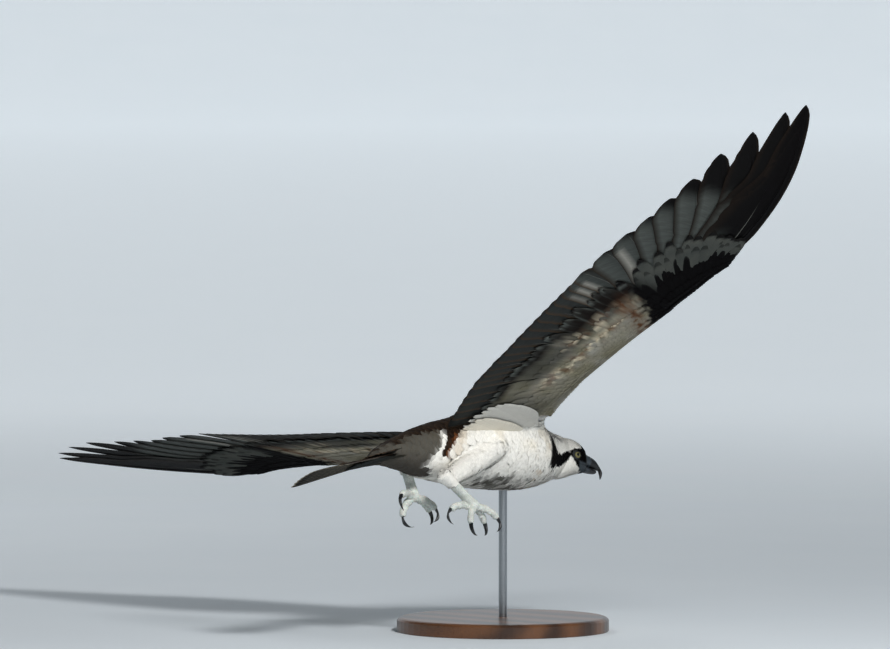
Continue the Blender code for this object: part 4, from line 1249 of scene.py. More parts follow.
    def scatter(self) -> tuple[Array, Array]:
        """Even random roots on the skin, closer where feathers are small.

        Returns:
            Root points and feather lengths.
        """
        a, b, c = (self.points[self.tris[:, i]] for i in range(3))
        area = np.linalg.norm(np.cross(b - a, c - a), axis=1) / 2
        middle = (a + b + c) / 3
        size = self.length(middle)
        weight = np.where(self.bare(middle), 0.0, area / size**2)
        weight /= weight.sum()
        pick = self.rng.choice(len(weight), SEEDS, p=weight)
        r1, r2 = self.rng.random((2, SEEDS))
        flip = r1 + r2 > 1
        r1, r2 = np.where(flip, 1 - r1, r1), np.where(flip, 1 - r2, r2)
        roots = a[pick] + (b - a)[pick] * r1[:, None] + (c - a)[pick] * r2[:, None]
        size = self.length(roots)
        keep = ~self.bare(roots)
        roots, size = roots[keep], size[keep]
        tree = KDTree(len(roots))
        for i, p in enumerate(roots.tolist()):
            tree.insert(p, i)
        tree.balance()
        alive = np.ones(len(roots), bool)
        chosen = []
        for i, p in enumerate(roots.tolist()):
            if not alive[i]:
                continue
            chosen.append(i)
            for _, j, _ in tree.find_range(p, BODY_STEP * size[i] + 0.0002):
                alive[j] = False
        return roots[chosen], size[chosen]

    def settle(self, p: Array, reach: Array) -> tuple[Array, Array, Array]:
        """Nearest points on the skin.

        Args:
            p: Points to bring down.
            reach: Farthest that each may move; farther ones stay where they are.

        Returns:
            Settled points, normals there, and which points were settled.
        """
        out, normal = p.copy(), np.zeros_like(p)
        held = np.zeros(len(p), bool)
        for i, q in enumerate(p.tolist()):
            spot, _, face, far = self.tree.find_nearest(q)
            if face is None:
                continue
            n = self.normals[self.tris[face]].mean(0)
            normal[i] = n
            if far <= reach[i]:
                out[i] = spot
                held[i] = True
        return out, unit(normal), held

    def grow(self, roots: Array, size: Array, lie: Array) -> dict[str, Array]:
        """Lay feathers along the skin.

        Args:
            roots: Their roots, on the skin or near it.
            size: Lengths.
            lie: Directions at the roots.

        Returns:
            Roots, lengths, centre lines, side vectors at the edges and normals.
        """
        n = len(roots)
        size = size * (0.92 + 0.16 * self.rng.random(n))
        base, normal, _ = self.settle(roots, np.full(n, 1.0))
        spin = (self.rng.random(n) - 0.5) * 0.20
        ahead = unit(lie - normal * np.sum(lie * normal, 1, keepdims=True))
        ahead = ahead * np.cos(spin)[:, None] + np.cross(normal, ahead) * np.sin(spin)[:, None]
        shares = np.array([0.0, 0.28, 0.52, 0.74, 0.90, 1.0])
        centre, normals, sides = [base], [normal], [np.cross(ahead, normal)]
        held = np.ones(n, bool)
        for share in np.diff(shares):
            step = share * size
            free = centre[-1] + ahead * step[:, None]
            spot, found, near = self.settle(free, step * 0.55)
            turn = np.sum(found * normals[-1], 1) > 0.2
            held &= near & turn
            here = np.where(held[:, None], spot, free)
            now = np.where(held[:, None], found, normals[-1])
            ahead = unit(here - centre[-1])
            ahead = unit(ahead - now * np.sum(ahead * now, 1, keepdims=True))
            centre.append(here)
            normals.append(now)
            sides.append(np.cross(ahead, now))
        return {"root": base, "size": size, "share": shares, "centre": np.stack(centre, 1),
                "normal": np.stack(normals, 1), "side": np.stack(sides, 1)}

    def feathers(self, grown: dict[str, Array], pick: Array, columns: int) -> dict[str, Array]:
        """Surface of the picked feathers.

        Args:
            grown: What grow returned.
            pick: Numbers of the feathers.
            columns: Columns of points across.

        Returns:
            Arguments for Coat.add.
        """
        centre, normal, side = (grown[k][pick] for k in ("centre", "normal", "side"))
        size, t = grown["size"][pick], grown["share"]
        n, rows = centre.shape[:2]
        wide = BODY_VANE * size * (1.0 + 0.16 * self.rng.random(n))
        half = wide[:, None] * oval_outline(t)[None]
        half *= 1.0 + (self.rng.random((n, rows)) - 0.5) * 0.10
        x = across(columns)
        edges = []
        for sign in (-1, 1):
            free = centre + side * (sign * half)[..., None]
            spot, _, near = self.settle(free.reshape(-1, 3), np.repeat(wide, rows))
            edges.append(np.where(near[:, None], spot, free.reshape(-1, 3)).reshape(n, rows, 3))
        low, high = edges
        sheet = (centre[:, :, None] + (high - low)[:, :, None] * (x / 2)[None, None, :, None]
                 + ((high + low) / 2 - centre)[:, :, None] * (x**2)[None, None, :, None])
        depth = self.depth(grown["root"][pick])
        rise = depth[:, None] * (1.0 - (1.0 - t)[None] ** 2.2) - 0.0005 * (1 - t)[None]
        rise = rise + (self.rng.random(n)[:, None] - 0.5) * self.tilt_noise * 2 * t[None]
        crown = (1.0 - x**2)[None, None] * (0.06 * half)[..., None]
        lean = ((self.rng.random(n) - 0.5) * 0.06)[:, None, None] * x[None, None] * half[..., None]
        lift = rise[..., None] + crown + lean
        top = sheet + normal[:, :, None] * lift[..., None]
        thick = 0.00016 + 0.012 * wide
        below = top - normal[:, :, None] * thick[:, None, None, None]
        vane = vane_map(x[None, None] * half[..., None], t, size)
        return {"top": top, "below": below, "vane": vane, "t": t, "x": x}

    def tints(self, grown: dict[str, Array], pick: Array, t: Array, x: Array) -> Array:
        """Colours of the picked feathers, at shares t of the length and places x across."""
        size = grown["size"][pick]
        path = grown["centre"][pick]
        colour = MARKINGS.body(path[:, -2])
        # half the colour is the feather's own, half follows the markings under it
        rows = MARKINGS.body(path.reshape(-1, 3)).reshape(path.shape)
        rows = 0.5 * (rows + colour[:, None]) * (0.93 + 0.12 * self.rng.random((len(pick), 1, 1)))
        dark = 1.0 - ease(colour.mean(1) / 0.25)
        base = mix(Plumage.DOWN.rgb, Plumage.DARK.rgb, dark * 0.8)
        fade = ease((t - 0.05) / 0.45)
        sheet = mix(base[:, None, None], rows[:, :, None], np.broadcast_to(
            fade[None, :, None], (len(pick), len(t), len(x))))
        rim = ease((t[None, :, None] - 0.80) / 0.2) * dark[:, None, None] * 0.22
        rim = np.maximum(rim, (np.abs(x)[None, None] ** 4) * dark[:, None, None] * 0.14
                         * (t > 0.3)[None, :, None])
        scale = ease((size - 0.010) / 0.008)[:, None, None]
        return mix(sheet, Plumage.FRINGE.rgb, rim * scale)

    def unwrap(self, root: Array) -> Array:
        """Place of roots on an unwrap of the body: round it and along it."""
        centre_z = table(root[:, 1], (-0.18, -0.02), (0.0, -0.018), (0.25, -0.06))
        turn = np.arctan2(root[:, 0], -(root[:, 2] - centre_z)) / math.tau + 0.5
        lower = root[:, 2] < -0.082
        down = np.clip((root[:, 1] + 0.20) / 0.48, 0, 1)
        u = 0.01 + 0.97 * turn
        v = np.where(lower, 0.90 + 0.09 * np.clip((-0.082 - root[:, 2]) / 0.05, 0, 1),
                     0.01 + 0.88 * down)
        return np.stack([u, v], -1)

    def build(self, material: bpy.types.Material) -> list[bpy.types.Object]:
        """Grow the coat and make its pieces.

        Args:
            material: Finish of the feathers.

        Returns:
            The coat's pieces.
        """
        roots, size = self.scatter()
        grown = self.grow(roots, size, self.flow(roots))
        root = grown["root"]
        zone = self.zones(root)
        # a feather that runs off an edge of the body into the air is left out
        tip = grown["centre"][:, -1]
        gap = np.array([self.tree.find_nearest(p)[3] for p in tip.tolist()])
        rise = (tip - np.array(TailCoat.base)) @ np.array([0, math.sin(TailCoat.droop),
                                                           math.cos(TailCoat.droop)])
        kept = (gap < FREE_TIP) | ((root[:, 1] > 0.17) & (np.abs(rise) < 0.013))
        head = ((zone["head"] > 0.5) | (root[:, 1] < -0.105)) & kept
        legs = (zone["legs"] > 0.5) & ~head & kept
        breast = ~head & ~legs & (root[:, 1] < 0.02) & kept
        rest = ~head & ~legs & ~breast & kept
        made = []
        for name, mine, columns in (("coat_head", head, 3), ("coat_breast", breast, 5),
                                    ("coat_rump", rest, 5), ("coat_legs", legs, 3)):
            numbers = np.flatnonzero(mine)
            per = (len(grown["share"]) - 1) * (2 * columns - 2) * 2 + (2 * columns - 4) * 2
            parts = int(math.ceil(len(numbers) * per / MAX_TRIANGLES))
            order = numbers[np.argsort(root[numbers, 1])]
            for part, chunk in enumerate(np.array_split(order, max(1, parts))):
                coat = Coat(name if parts < 2 else f"{name}_{part + 1}")
                shape = self.feathers(grown, chunk, columns)
                t, x = shape["t"], shape["x"]
                tint = self.tints(grown, chunk, t, x)
                bake = tuft_map(self.unwrap(root[chunk]), t, x)
                # the feathers' under sides are painted 18% darker than their tops, as painted shade
                coat.add(shape["top"], shape["below"], tint, tint * 0.82, shape["vane"], bake)
                made.append(coat.build(material))
        return made


@dataclass(frozen=True)
class CovertRow:
    """One row of coverts along arm or hand."""

    forward: float              # share of the way from the quills' roots to the front
    length: float
    half_width: float
    count: int


ARM_ROWS = (CovertRow(0.02, 0.066, 0.0100, 23), CovertRow(0.22, 0.044, 0.0088, 26),
            CovertRow(0.38, 0.033, 0.0076, 31), CovertRow(0.50, 0.029, 0.0068, 35),
            CovertRow(0.61, 0.025, 0.0061, 39), CovertRow(0.71, 0.022, 0.0055, 43),
            CovertRow(0.80, 0.019, 0.0049, 47), CovertRow(0.88, 0.0165, 0.0044, 52),
            CovertRow(0.95, 0.0140, 0.0040, 58), CovertRow(1.00, 0.0120, 0.0036, 64))
HAND_ROWS = (CovertRow(0.00, 0.140, 0.0128, 14), CovertRow(0.28, 0.122, 0.0118, 15),
             CovertRow(0.46, 0.106, 0.0100, 15), CovertRow(0.60, 0.072, 0.0086, 17),
             CovertRow(0.74, 0.044, 0.0070, 20), CovertRow(0.87, 0.0250, 0.0052, 25),
             CovertRow(1.00, 0.0150, 0.0040, 34))


COVERT_SHARES = np.array([0.0, 0.2, 0.42, 0.64, 0.82, 0.94, 1.0])      # rows of points


@dataclass
class WingCoat:
    """Quills and coverts of one wing."""

    form: WingForm
    tilt: float = 0.034          # how far a vane's leading edge stands over its neighbour
    sag: float = 0.25            # hollow of the vane below its shaft, per metre
    seed: int = 3

    def __post_init__(self) -> None:
        """Start this wing's own random numbers."""
        self.rng = np.random.default_rng(self.seed + self.form.side)

    def path(self, root: Array, angle: Array, length: Array, bend: float,
             t: Array) -> tuple[Array, Array]:
        """Shafts in plan.

        Args:
            root: Roots of the feathers.
            angle: Directions at 30% of the length.
            length: Lengths.
            bend: Turn from root to tip.
            t: Shares of the length at which points are wanted.

        Returns:
            Points and directions, feathers by rows by 2.
        """
        fine = np.linspace(0, 1, 41)
        a = angle[:, None] + bend * (fine - 0.3)
        d = np.stack([np.cos(a), np.sin(a)], -1)
        steps = (d[:, 1:] + d[:, :-1]) / 2 * (length[:, None, None] / 40)
        p = np.concatenate([root[:, None], root[:, None] + np.cumsum(steps, 1)], 1)
        at = t * 40
        i = np.minimum(at.astype(int), 39)
        f = (at - i)[None, :, None]
        return p[:, i] * (1 - f) + p[:, i + 1] * f, d[:, i] * (1 - f) + d[:, i + 1] * f

    def sheet(self, plan: Array, lift: Array) -> Array:
        """Place plan points; the right wing's columns are turned round."""
        out = self.form.place(plan, lift)
        return out if self.form.side > 0 else out[:, :, ::-1]

    def turned(self, values: Array) -> Array:
        """Column order of the right wing is turned round."""
        return values if self.form.side > 0 else values[:, :, ::-1]

    def lay(self, coat: Coat, spread: tuple[Array, ...], t: Array, x: Array, points: Array,
            lift: Array, thick: float, colour: Array) -> None:
        """Add a row of small feathers.

        Args:
            coat: Where to.
            spread: Roots in plan, lengths and distances from the shaft.
            t: Shares of the length.
            x: Column places across.
            points: Plan points.
            lift: Heights above the wing's mid sheet.
            thick: Half the thickness.
            colour: Linear colours.
        """
        root, length, c = spread
        top, below = self.sheet(points, lift + thick), self.sheet(points, lift - thick)
        spot = (root - np.array([-0.05, -0.06])) / np.array([0.52, 0.22]) * 0.98
        colour, vane, bake = (self.turned(v) for v in (colour, vane_map(c, t, length),
                                                       tuft_map(spot, t, x)))
        coat.add(top, below, colour, colour, vane, bake)

    def quill_colours(self, number: Array, t: Array, cross: Array) -> tuple[Array, ...]:
        """Colours and bars of the flight feathers.

        Args:
            number: Quill numbers from the outermost primary.
            t: Shares of the length.
            cross: Column places, -1 trailing edge to 1 leading edge.

        Returns:
            Upper colours, under colours, upper bars and under bars.
        """
        q = number[:, None, None].astype(float)
        _, tt, c = np.broadcast_arrays(q, t[None, :, None], cross[None, None])
        primary = 1.0 - ease((q - 8.6) / 1.2)
        start = table(q, (0, 0.16), (1, 0.26), (2, 0.38), (3, 0.50), (4, 0.63), (5, 0.78),
                      (7, 0.86), (10, 0.90), (29, 0.88))
        tip = ease((tt - start + 0.05 * c) / 0.14)
        # under sides: paler inner webs and slate secondaries, in greys painted darker than the
        # bird's own as painted shade
        ash = mix(Plumage.ASH.rgb, Plumage.PALE_ASH.rgb, np.clip(-c, 0, 1) * 0.55)
        arm = ease((q - 9.0) / 4.5) + 0 * c
        ash = mix(ash, Plumage.SLATE.rgb, 0.92 * arm)
        outer_web = ease((c - 0.02) / 0.12) * (0.30 + 0.30 * (1 - primary))
        under = mix(ash, Plumage.DARK.rgb, outer_web)
        first = ease((2.2 - q) / 1.2)
        under = mix(under, Plumage.BLACK.rgb, 0.90 * first * np.where(c > -0.6, 1.0, 0.6))
        under = mix(under, Plumage.BLACK.rgb, np.clip(tip * (0.97 - 0.22 * (1 - primary)), 0, 1))
        # pale inner margins where primaries give way to secondaries
        edge = table(q, (7, 0.95), (8, 0.45), (9, 0.86), (10, 0.55), (11, 0.42), (12, 0.62),
                     (13, 0.86))
        margin = (ease((-c - edge) / 0.14) * ease((q - 7.2) / 0.6) * ease((14.2 - q) / 1.6)
                  * ease((0.90 - tt) / 0.08))
        under = mix(under, Plumage.DOWN.rgb, 0.80 * margin)
        bars = (1 - tip) * (0.06 + 0.12 * np.clip(-c, 0, 1)) * (1 - margin)
        above = mix(Plumage.BROWN.rgb, Plumage.BLACK.rgb,
                    np.broadcast_to(0.35 + 0.45 * primary, c.shape))
        above = mix(above, Plumage.BLACK.rgb, tip * 0.5)
        above = mix(above, Plumage.FRINGE.rgb, ease((np.maximum(np.abs(c), tt) - 0.955) / 0.04)
                    * (0.30 * (1 - primary) + 0.06))
        shaft = np.exp(-(c / 0.02) ** 2)
        above = mix(above, Plumage.RUST.rgb, shaft * 0.35)
        under = mix(under, Plumage.DOWN.rgb, shaft * (1 - tip) * (1 - first) * 0.30)
        return above, under, 0.15 * bars, bars

    def remiges(self, coat: Coat) -> None:
        """Primaries and secondaries, each with a raised shaft and worn edges."""
        roots, angles, lengths = self.form.quills()
        t = np.concatenate([np.linspace(0, 0.84, 24),
                            [0.875, 0.905, 0.93, 0.95, 0.966, 0.979, 0.989, 0.996, 1.0]])
        total = PRIMARIES + SECONDARIES
        for first, last, bend in ((0, PRIMARIES, 0.30), (PRIMARIES, total, 0.15)):
            number = np.arange(first, last)
            n = len(number)
            length = lengths[number] * (1 + (self.rng.random(n) - 0.5) * 0.012)
            plan, ahead = self.path(roots[number], angles[number], length, bend, t)
            if first == 0:
                slim = table(9 - number, (3, 0.0), (6, 1.0), (9, 1.0))
                outer, inner = 0.016 - 0.005 * slim, np.full(n, 0.034)
            else:
                slim = np.zeros(n)
                outer, inner = np.full(n, 0.016), np.full(n, 0.023)
            long_out = table(t, (0, 0.5), (0.3, 1.0), (0.75, 1.0), (0.9, 0.90), (0.95, 0.76),
                             (0.979, 0.46), (1, 0.04))
            blunt_out = table(t, (0, 0.5), (0.3, 1.0), (0.86, 1.0), (0.95, 0.86), (0.979, 0.64),
                              (1, 0.06))
            long_in = table(t, (0, 0.62), (0.25, 1.0), (0.72, 1.0), (0.80, 0.90), (0.86, 0.72),
                            (0.90, 0.57), (0.94, 0.40), (0.97, 0.25), (0.99, 0.11), (1, 0.02))
            blunt_in = table(t, (0, 0.5), (0.4, 1.0), (0.90, 1.0), (0.95, 0.92), (0.979, 0.72),
                             (1, 0.10))
            if first == 0:
                cut = table(t, (0, 0.5), (0.3, 1.0), (0.845, 1.0), (0.88, 0.93), (0.92, 0.76),
                            (0.96, 0.48), (0.98, 0.29), (0.99, 0.18), (1, 0.04))
                square = ease((number - 5.0) / 4.0)[:, None]
                blunt_in = cut * (1 - 0.7 * square) + blunt_in * 0.7 * square
            pointed = slim[:, None]
            worn = 1.0 - 0.05 * (self.rng.random((n, len(t))) > 0.88) * (t > 0.3)
            w_out = outer[:, None] * (long_out * pointed + blunt_out * (1 - pointed))
            if first == 0:
                w_out[0] += 0.003 * (1.0 - ease((t - 0.15) / 0.30))
            w_in = inner[:, None] * (long_in * pointed + blunt_in * (1 - pointed)) * worn
            if first == 0:
                w_in[:3] *= 1.0 + 0.75 * (1.0 - ease((t - 0.45) / 0.25))
            stem = table(t, (0, 0.0017), (0.6, 0.0009), (1, 0.0002))[None] + 0 * w_out
            inmost = -0.40 * w_in + (0.40 * w_in - stem) * 0.7
            c = np.stack([-w_in, -0.70 * w_in, -0.40 * w_in, inmost, -stem, 0 * stem, stem,
                          0.5 * (w_out + stem), w_out], -1)
            cross = np.array([-1.0, -0.70, -0.40, -0.15, -0.04, 0.0, 0.06, 0.5, 1.0])
            points = plan[:, :, None] + leading(ahead)[:, :, None] * c[..., None]
            lift = self.tilt * c - self.sag * c**2
            lift = lift + (self.rng.random(n)[:, None, None] - 0.5) * 0.0002 * t[None, :, None]
            ridge = np.zeros(9)
            ridge[5] = 1.0
            top = self.sheet(points, lift + ridge * (stem * 0.6)[..., None] + 0.00013)
            below = self.sheet(points, lift - ridge * (stem * 0.9)[..., None] - 0.00013)
            above, under, bar_top, bar_low = self.quill_colours(number, t, cross)
            dim = 0.94 + 0.12 * self.rng.random((n, 1, 1, 1))
            rest = (above * dim, under * dim, vane_map(c, t, length),
                    quill_map(number, total, t, cross), bar_top, bar_low)
            coat.add(top, below, *(self.turned(v) for v in rest))

    def covert_colours(self, plan: Array, forward: float, hand: bool, upper: bool, t: Array,
                       x: Array) -> Array:
        """Colours of the coverts.

        Args:
            plan: Plan points of the sheets.
            forward: The row's place, 0 at the quills to 1 at the front.
            hand: Whether the row is on the hand.
            upper: Whether it is on the upper side.
            t: Shares of the length.
            x: Column places across, -1 to 1.

        Returns:
            Linear colours.
        """
        u, v = plan[..., 0], plan[..., 1]
        spot = np.concatenate([plan, np.full(plan.shape[:-1] + (1,), 0.31 if upper else 0.77)], -1)
        rough = dapple(spot, 0.016, 12) - 0.5
        fine = dapple(spot, 0.006, 13)
        one = np.ones(u.shape)
        row = t[None, :, None] * one
        if upper:
            colour = mix(Plumage.DARK.rgb, Plumage.BROWN.rgb, 0.35 + 0.65 * dapple(spot, 0.03, 14))
            colour = mix(colour, Plumage.BLACK.rgb, ease((u - 0.28) / 0.12) * 0.45)
            colour = mix(colour, Plumage.FRINGE.rgb, ease((row - 0.86) / 0.12) * 0.42)
            front = ease((forward - 0.9) / 0.08) * ease((0.16 - u) / 0.08)
            return mix(colour, Plumage.BUFF.rgb, front * 0.45 * fine)
        # a smooth grey-buff lining, flecked along a ridge, then dark rows with pale fringes; the
        # lining is white in life and its grey-buff is painted shade
        far = ease((u - 0.07) / 0.05)
        line = table(u, (0.02, 0.088), (0.06, 0.096), (0.10, 0.101), (0.17, 0.102), (0.20, 0.097),
                     (0.225, 0.084), (0.29, 0.074)) + rough * 0.018
        # behind the front ridge the lining is painted slate, as painted shade
        behind = ease((v - 0.050) / 0.015) * far
        pale = mix(Plumage.LINING.rgb, Plumage.DOWN.rgb, np.clip(0.3 + 1.4 * rough, 0, 0.8))
        # near the body it is painted olive, as painted shade
        inner = ease((0.10 - u) / 0.05) * ease((v + 0.02) / 0.02)
        pale = mix(pale, Plumage.OLIVE.rgb, 0.55 * inner)
        pale = mix(pale, Plumage.SLATE.rgb, 0.72 * behind)
        ridge = np.exp(-((v - 0.039 - 0.4 * rough * 0.03) / 0.013) ** 2)
        second = 0.8 * np.exp(-((v - line + 0.020) / 0.012) ** 2) * ease((u - 0.16) / 0.04)
        ridge = np.maximum(ridge, second)
        # cream flecks along the ridges are the lining's own pale colour where grazing light catches
        # it, as painted light; the rust flecks are its own marks
        lit_flecks = ridge * far * ease((fine - 0.52) / 0.14)
        rusty = ridge * far * ease((dapple(spot, 0.009, 18) - 0.52) / 0.16)
        pale = mix(pale, Plumage.RUST.rgb, rusty * 0.50)
        pale = mix(pale, Plumage.CREAM.rgb, lit_flecks * 0.85)
        dark = mix(Plumage.DARK.rgb, Plumage.BLACK.rgb, 0.4 * one)
        fringe = np.maximum(ease((row - 0.80) / 0.10) * ease((0.99 - row) / 0.02),
                            0.8 * ease((np.abs(x) - 0.55) / 0.3) * ease((row - 0.35) / 0.2))
        dark = mix(dark, Plumage.PALE_ASH.rgb, fringe * (0.20 + 0.55 * ease((fine - 0.42) / 0.2)))
        colour = mix(pale, dark, ease((v - line) / 0.012 + 0.5))
        wrist = table(v, (-0.022, 0.262), (0.024, 0.286), (0.065, 0.304), (0.10, 0.325))
        seam = np.exp(-((u - wrist + 0.012) / 0.014) ** 2) * ease((0.09 - v) / 0.02)
        brown = mix(Plumage.RUST.rgb, Plumage.BROWN.rgb, 0.45 * one)
        seam = seam * (0.35 + 0.6 * ease((fine - 0.4) / 0.2))
        colour = mix(colour, brown, np.clip(seam, 0, 0.95))
        carpal = ease((u - wrist + rough * 0.02 + (fine - 0.5) * 0.018) / 0.014)
        colour = mix(colour, Plumage.BLACK.rgb, carpal)
        # the pale rows' greys are painted darker than the bird's own, as painted shade
        grey = mix(Plumage.BAND.rgb, Plumage.ASH.rgb, 0.4 + 0.6 * dapple(spot, 0.012, 15))
        share = ease((u - 0.325) / 0.03)
        if hand and forward < 0.4:
            # two pale rows, each with a dark tip
            colour = mix(colour, grey, share * ease((row - 0.30) / 0.12) * 0.95)
            tip = ease((row + 0.05 * x**2 - (0.935 if forward < 0.1 else 0.915)) / 0.018)
            colour = mix(colour, Plumage.BLACK.rgb, tip * (0.92 if forward < 0.1 else 0.55))
        elif hand and forward < 0.6:
            # black pointed centres with pale margins stand into the pale rows like teeth
            tooth = ease((np.abs(x) - 0.30 - 1.9 * (1 - row)) / 0.25) * ease((row - 0.45) / 0.1)
            colour = mix(colour, grey, tooth * share * 0.90)
        return colour

    def coverts(self, coat: Coat, upper: bool) -> None:
        """All rows of coverts on one side of the wing."""
        form = self.form
        fine = np.array([0.0, 0.2, 0.4, 0.56, 0.7, 0.81, 0.89, 0.93, 0.955, 0.98, 1.0])
        x = across(5)
        for hand, rows in ((False, ARM_ROWS), (True, HAND_ROWS)):
            t = fine if hand and not upper else COVERT_SHARES
            for row in rows:
                first, last = (-0.9, 9.6) if hand else (9.6, 29.8 if upper else 28.6)
                q = np.linspace(first, last, row.count) + (self.rng.random(row.count) - 0.5) * 0.16
                root, angle, front = form.station(q)
                start = root + (front - root) * row.forward
                n = len(q)
                if hand:
                    share = 0.35 * row.forward * ease((q + 0.9) / 3.0)
                    angle = angle * (1 - share) + math.radians(78) * share
                angle = angle + (self.rng.random(n) - 0.5) * 0.10
                length = row.length * (0.95 + 0.12 * self.rng.random(n))
                if hand:
                    long = table(q, (-0.9, 0.55), (1.4, 0.68), (3.1, 0.85), (4.5, 0.97), (6.3, 1.0),
                                 (7.2, 0.98), (8.2, 0.92), (9.6, 0.80))
                    length = length * np.where(row.forward > 0.75, 1.0, long)
                else:
                    near = ease((0.55 - row.forward) / 0.5) * (0.55 if upper else 1.0)
                    longer = table(q, (9.6, 0.75), (12, 0.90), (19, 0.60), (24, 0.35), (29, 0.05))
                    length = length * (1.0 + near * longer)
                plan, ahead = self.path(start, angle, length, 0.10, t)
                half = row.half_width * oval_outline(t, 2.0)[None]
                half = half * (0.95 + 0.1 * self.rng.random((n, 1)))
                c = half[..., None] * x
                points = plan[:, :, None] + leading(ahead)[:, :, None] * c[..., None]
                high = np.maximum(form.upper(points) if upper else form.lower(points), THIN)
                lay = 0.0026 if row.forward < 0.3 else 0.0019
                rise = -0.0014 * (1 - t) ** 2 + lay * (t - 0.5) + 0.0004
                rise = (rise[None, :, None]
                        + (self.rng.random(n)[:, None, None] - 0.5) * 0.0004 * t[None, :, None])
                wrap = ease(t / 0.45) if row.forward >= 1.0 else np.ones(len(t))
                lift = (high + rise) * wrap[None, :, None] + 0.0003
                crown = (1 - x**2) * 0.045 * half[..., None]
                tilt = self.tilt * 0.6 * c
                body = (lift + crown + tilt) if upper else -(lift + crown - tilt)
                colour = self.covert_colours(points, row.forward, hand, upper, t, x)
                colour = colour * (0.92 + 0.14 * self.rng.random((n, 1, 1, 1)))
                if not upper:
                    ground = ease((0.35 - t) / 0.35)[None, :, None]
                    colour = mix(colour, Plumage.DOWN.rgb,
                                 ground * 0.25 * (colour.mean(-1) > 0.2))
                self.lay(coat, (start, length, c), t, x, points, body,
                         0.00012 + 0.002 * row.length, colour)

    def axillaries(self, coat: Coat) -> None:
        """Long smooth feathers from the armpit, a far layer and a near one."""
        t, x = np.linspace(0, 1, 13), across(7)
        # the far layer is greyed with down as painted shade, for the shade under the wing; the near
        # layer takes its own cream
        layers = ((((0.050, 0.058), (0.0485, 0.078), (0.044, 0.088), (0.036, 0.099), (0.027, 0.101),
                    (0.015, 0.107), (0.004, 0.107)), (0.010, -0.016), (-0.032, -0.046), 0.0042,
                   Plumage.DOWN),
                  (((0.014, 0.060), (0.0165, 0.079), (0.015, 0.089), (0.010, 0.100), (0.000, 0.102),
                    (-0.009, 0.106)), (-0.026, -0.040), (-0.034, -0.040), 0.0072, Plumage.CREAM))
        for tips, reach, level, deep, shade in layers:
            tip = np.array(tips)
            n = len(tip)
            root = np.stack([np.linspace(*reach, n), np.linspace(*level, n)], -1)
            run = tip - root
            length = np.linalg.norm(run, axis=1)
            lead = unit(leading(run))
            bow = 0.06 * np.sin(math.pi * t)[None, :, None] * length[:, None, None]
            plan = root[:, None] + run[:, None] * t[None, :, None] + lead[:, None] * bow
            half = 0.0118 * oval_outline(t, 1.7)[None] * (0.90 + 0.20 * self.rng.random((n, 1)))
            c = half[..., None] * x
            points = plan[:, :, None] + lead[:, None, None] * c[..., None]
            lift = self.form.lower(points) + deep * (0.55 + 0.45 * ease(t / 0.7))[None, :, None]
            lift = lift + (1 - x**2) * 0.0005 - self.tilt * 0.35 * c
            colour = mix(Plumage.WHITE.rgb, shade.rgb, 0.45 * np.ones(c.shape))
            colour = colour * (0.97 + 0.04 * self.rng.random((n, 1, 1, 1)))
            self.lay(coat, (root, length, c), t, x, points, -lift, 0.00018, colour)

    def alula(self, coat: Coat) -> None:
        """The thumb's three small quills on the wrist."""
        form = self.form
        t = COVERT_SHARES
        x = across(5)
        n = 3
        root = (form.wrist + form.hand_axis * np.array([0.010, 0.016, 0.022])[:, None]
                - form.hand_back * np.array([0.008, 0.009, 0.010])[:, None])
        angle = math.radians(form.hand_sweep) + np.radians([24.0, 17.0, 10.0])
        length = np.array([0.048, 0.064, 0.078])
        plan, ahead = self.path(root, angle, length, 0.12, t)
        half = 0.0072 * oval_outline(t, 2.0)[None] + np.zeros((n, 1))
        c = half[..., None] * x
        points = plan[:, :, None] + leading(ahead)[:, :, None] * c[..., None]
        stack = 0.0008 + 0.0006 * np.arange(n)
        lift = np.maximum(form.upper(points), THIN) + stack[:, None, None]
        lift = lift * ease(0.35 + t / 0.3)[None, :, None] + (1 - x**2) * 0.0008
        colour = mix(Plumage.DARK.rgb, Plumage.FRINGE.rgb, np.broadcast_to(0.3 * x**4, c.shape))
        self.lay(coat, (root, length, c), t, x, points, lift, 0.0002, colour)

    def build(self, flight: bpy.types.Material, soft: bpy.types.Material) -> list[bpy.types.Object]:
        """Make the wing's pieces.

        Args:
            flight: Finish of the quills.
            soft: Finish of the coverts.

        Returns:
            Quills, upper coverts, under coverts and axillaries.
        """
        tag = self.form.tag
        quills = Coat(f"quills_{tag}")
        self.remiges(quills)
        above = Coat(f"coverts_upper_{tag}")
        self.coverts(above, True)
        self.alula(above)
        below = Coat(f"coverts_under_{tag}")
        self.coverts(below, False)
        pit = Coat(f"coat_axillaries_{tag}")
        self.axillaries(pit)
        return [quills.build(flight), above.build(soft), below.build(soft), pit.build(soft)]


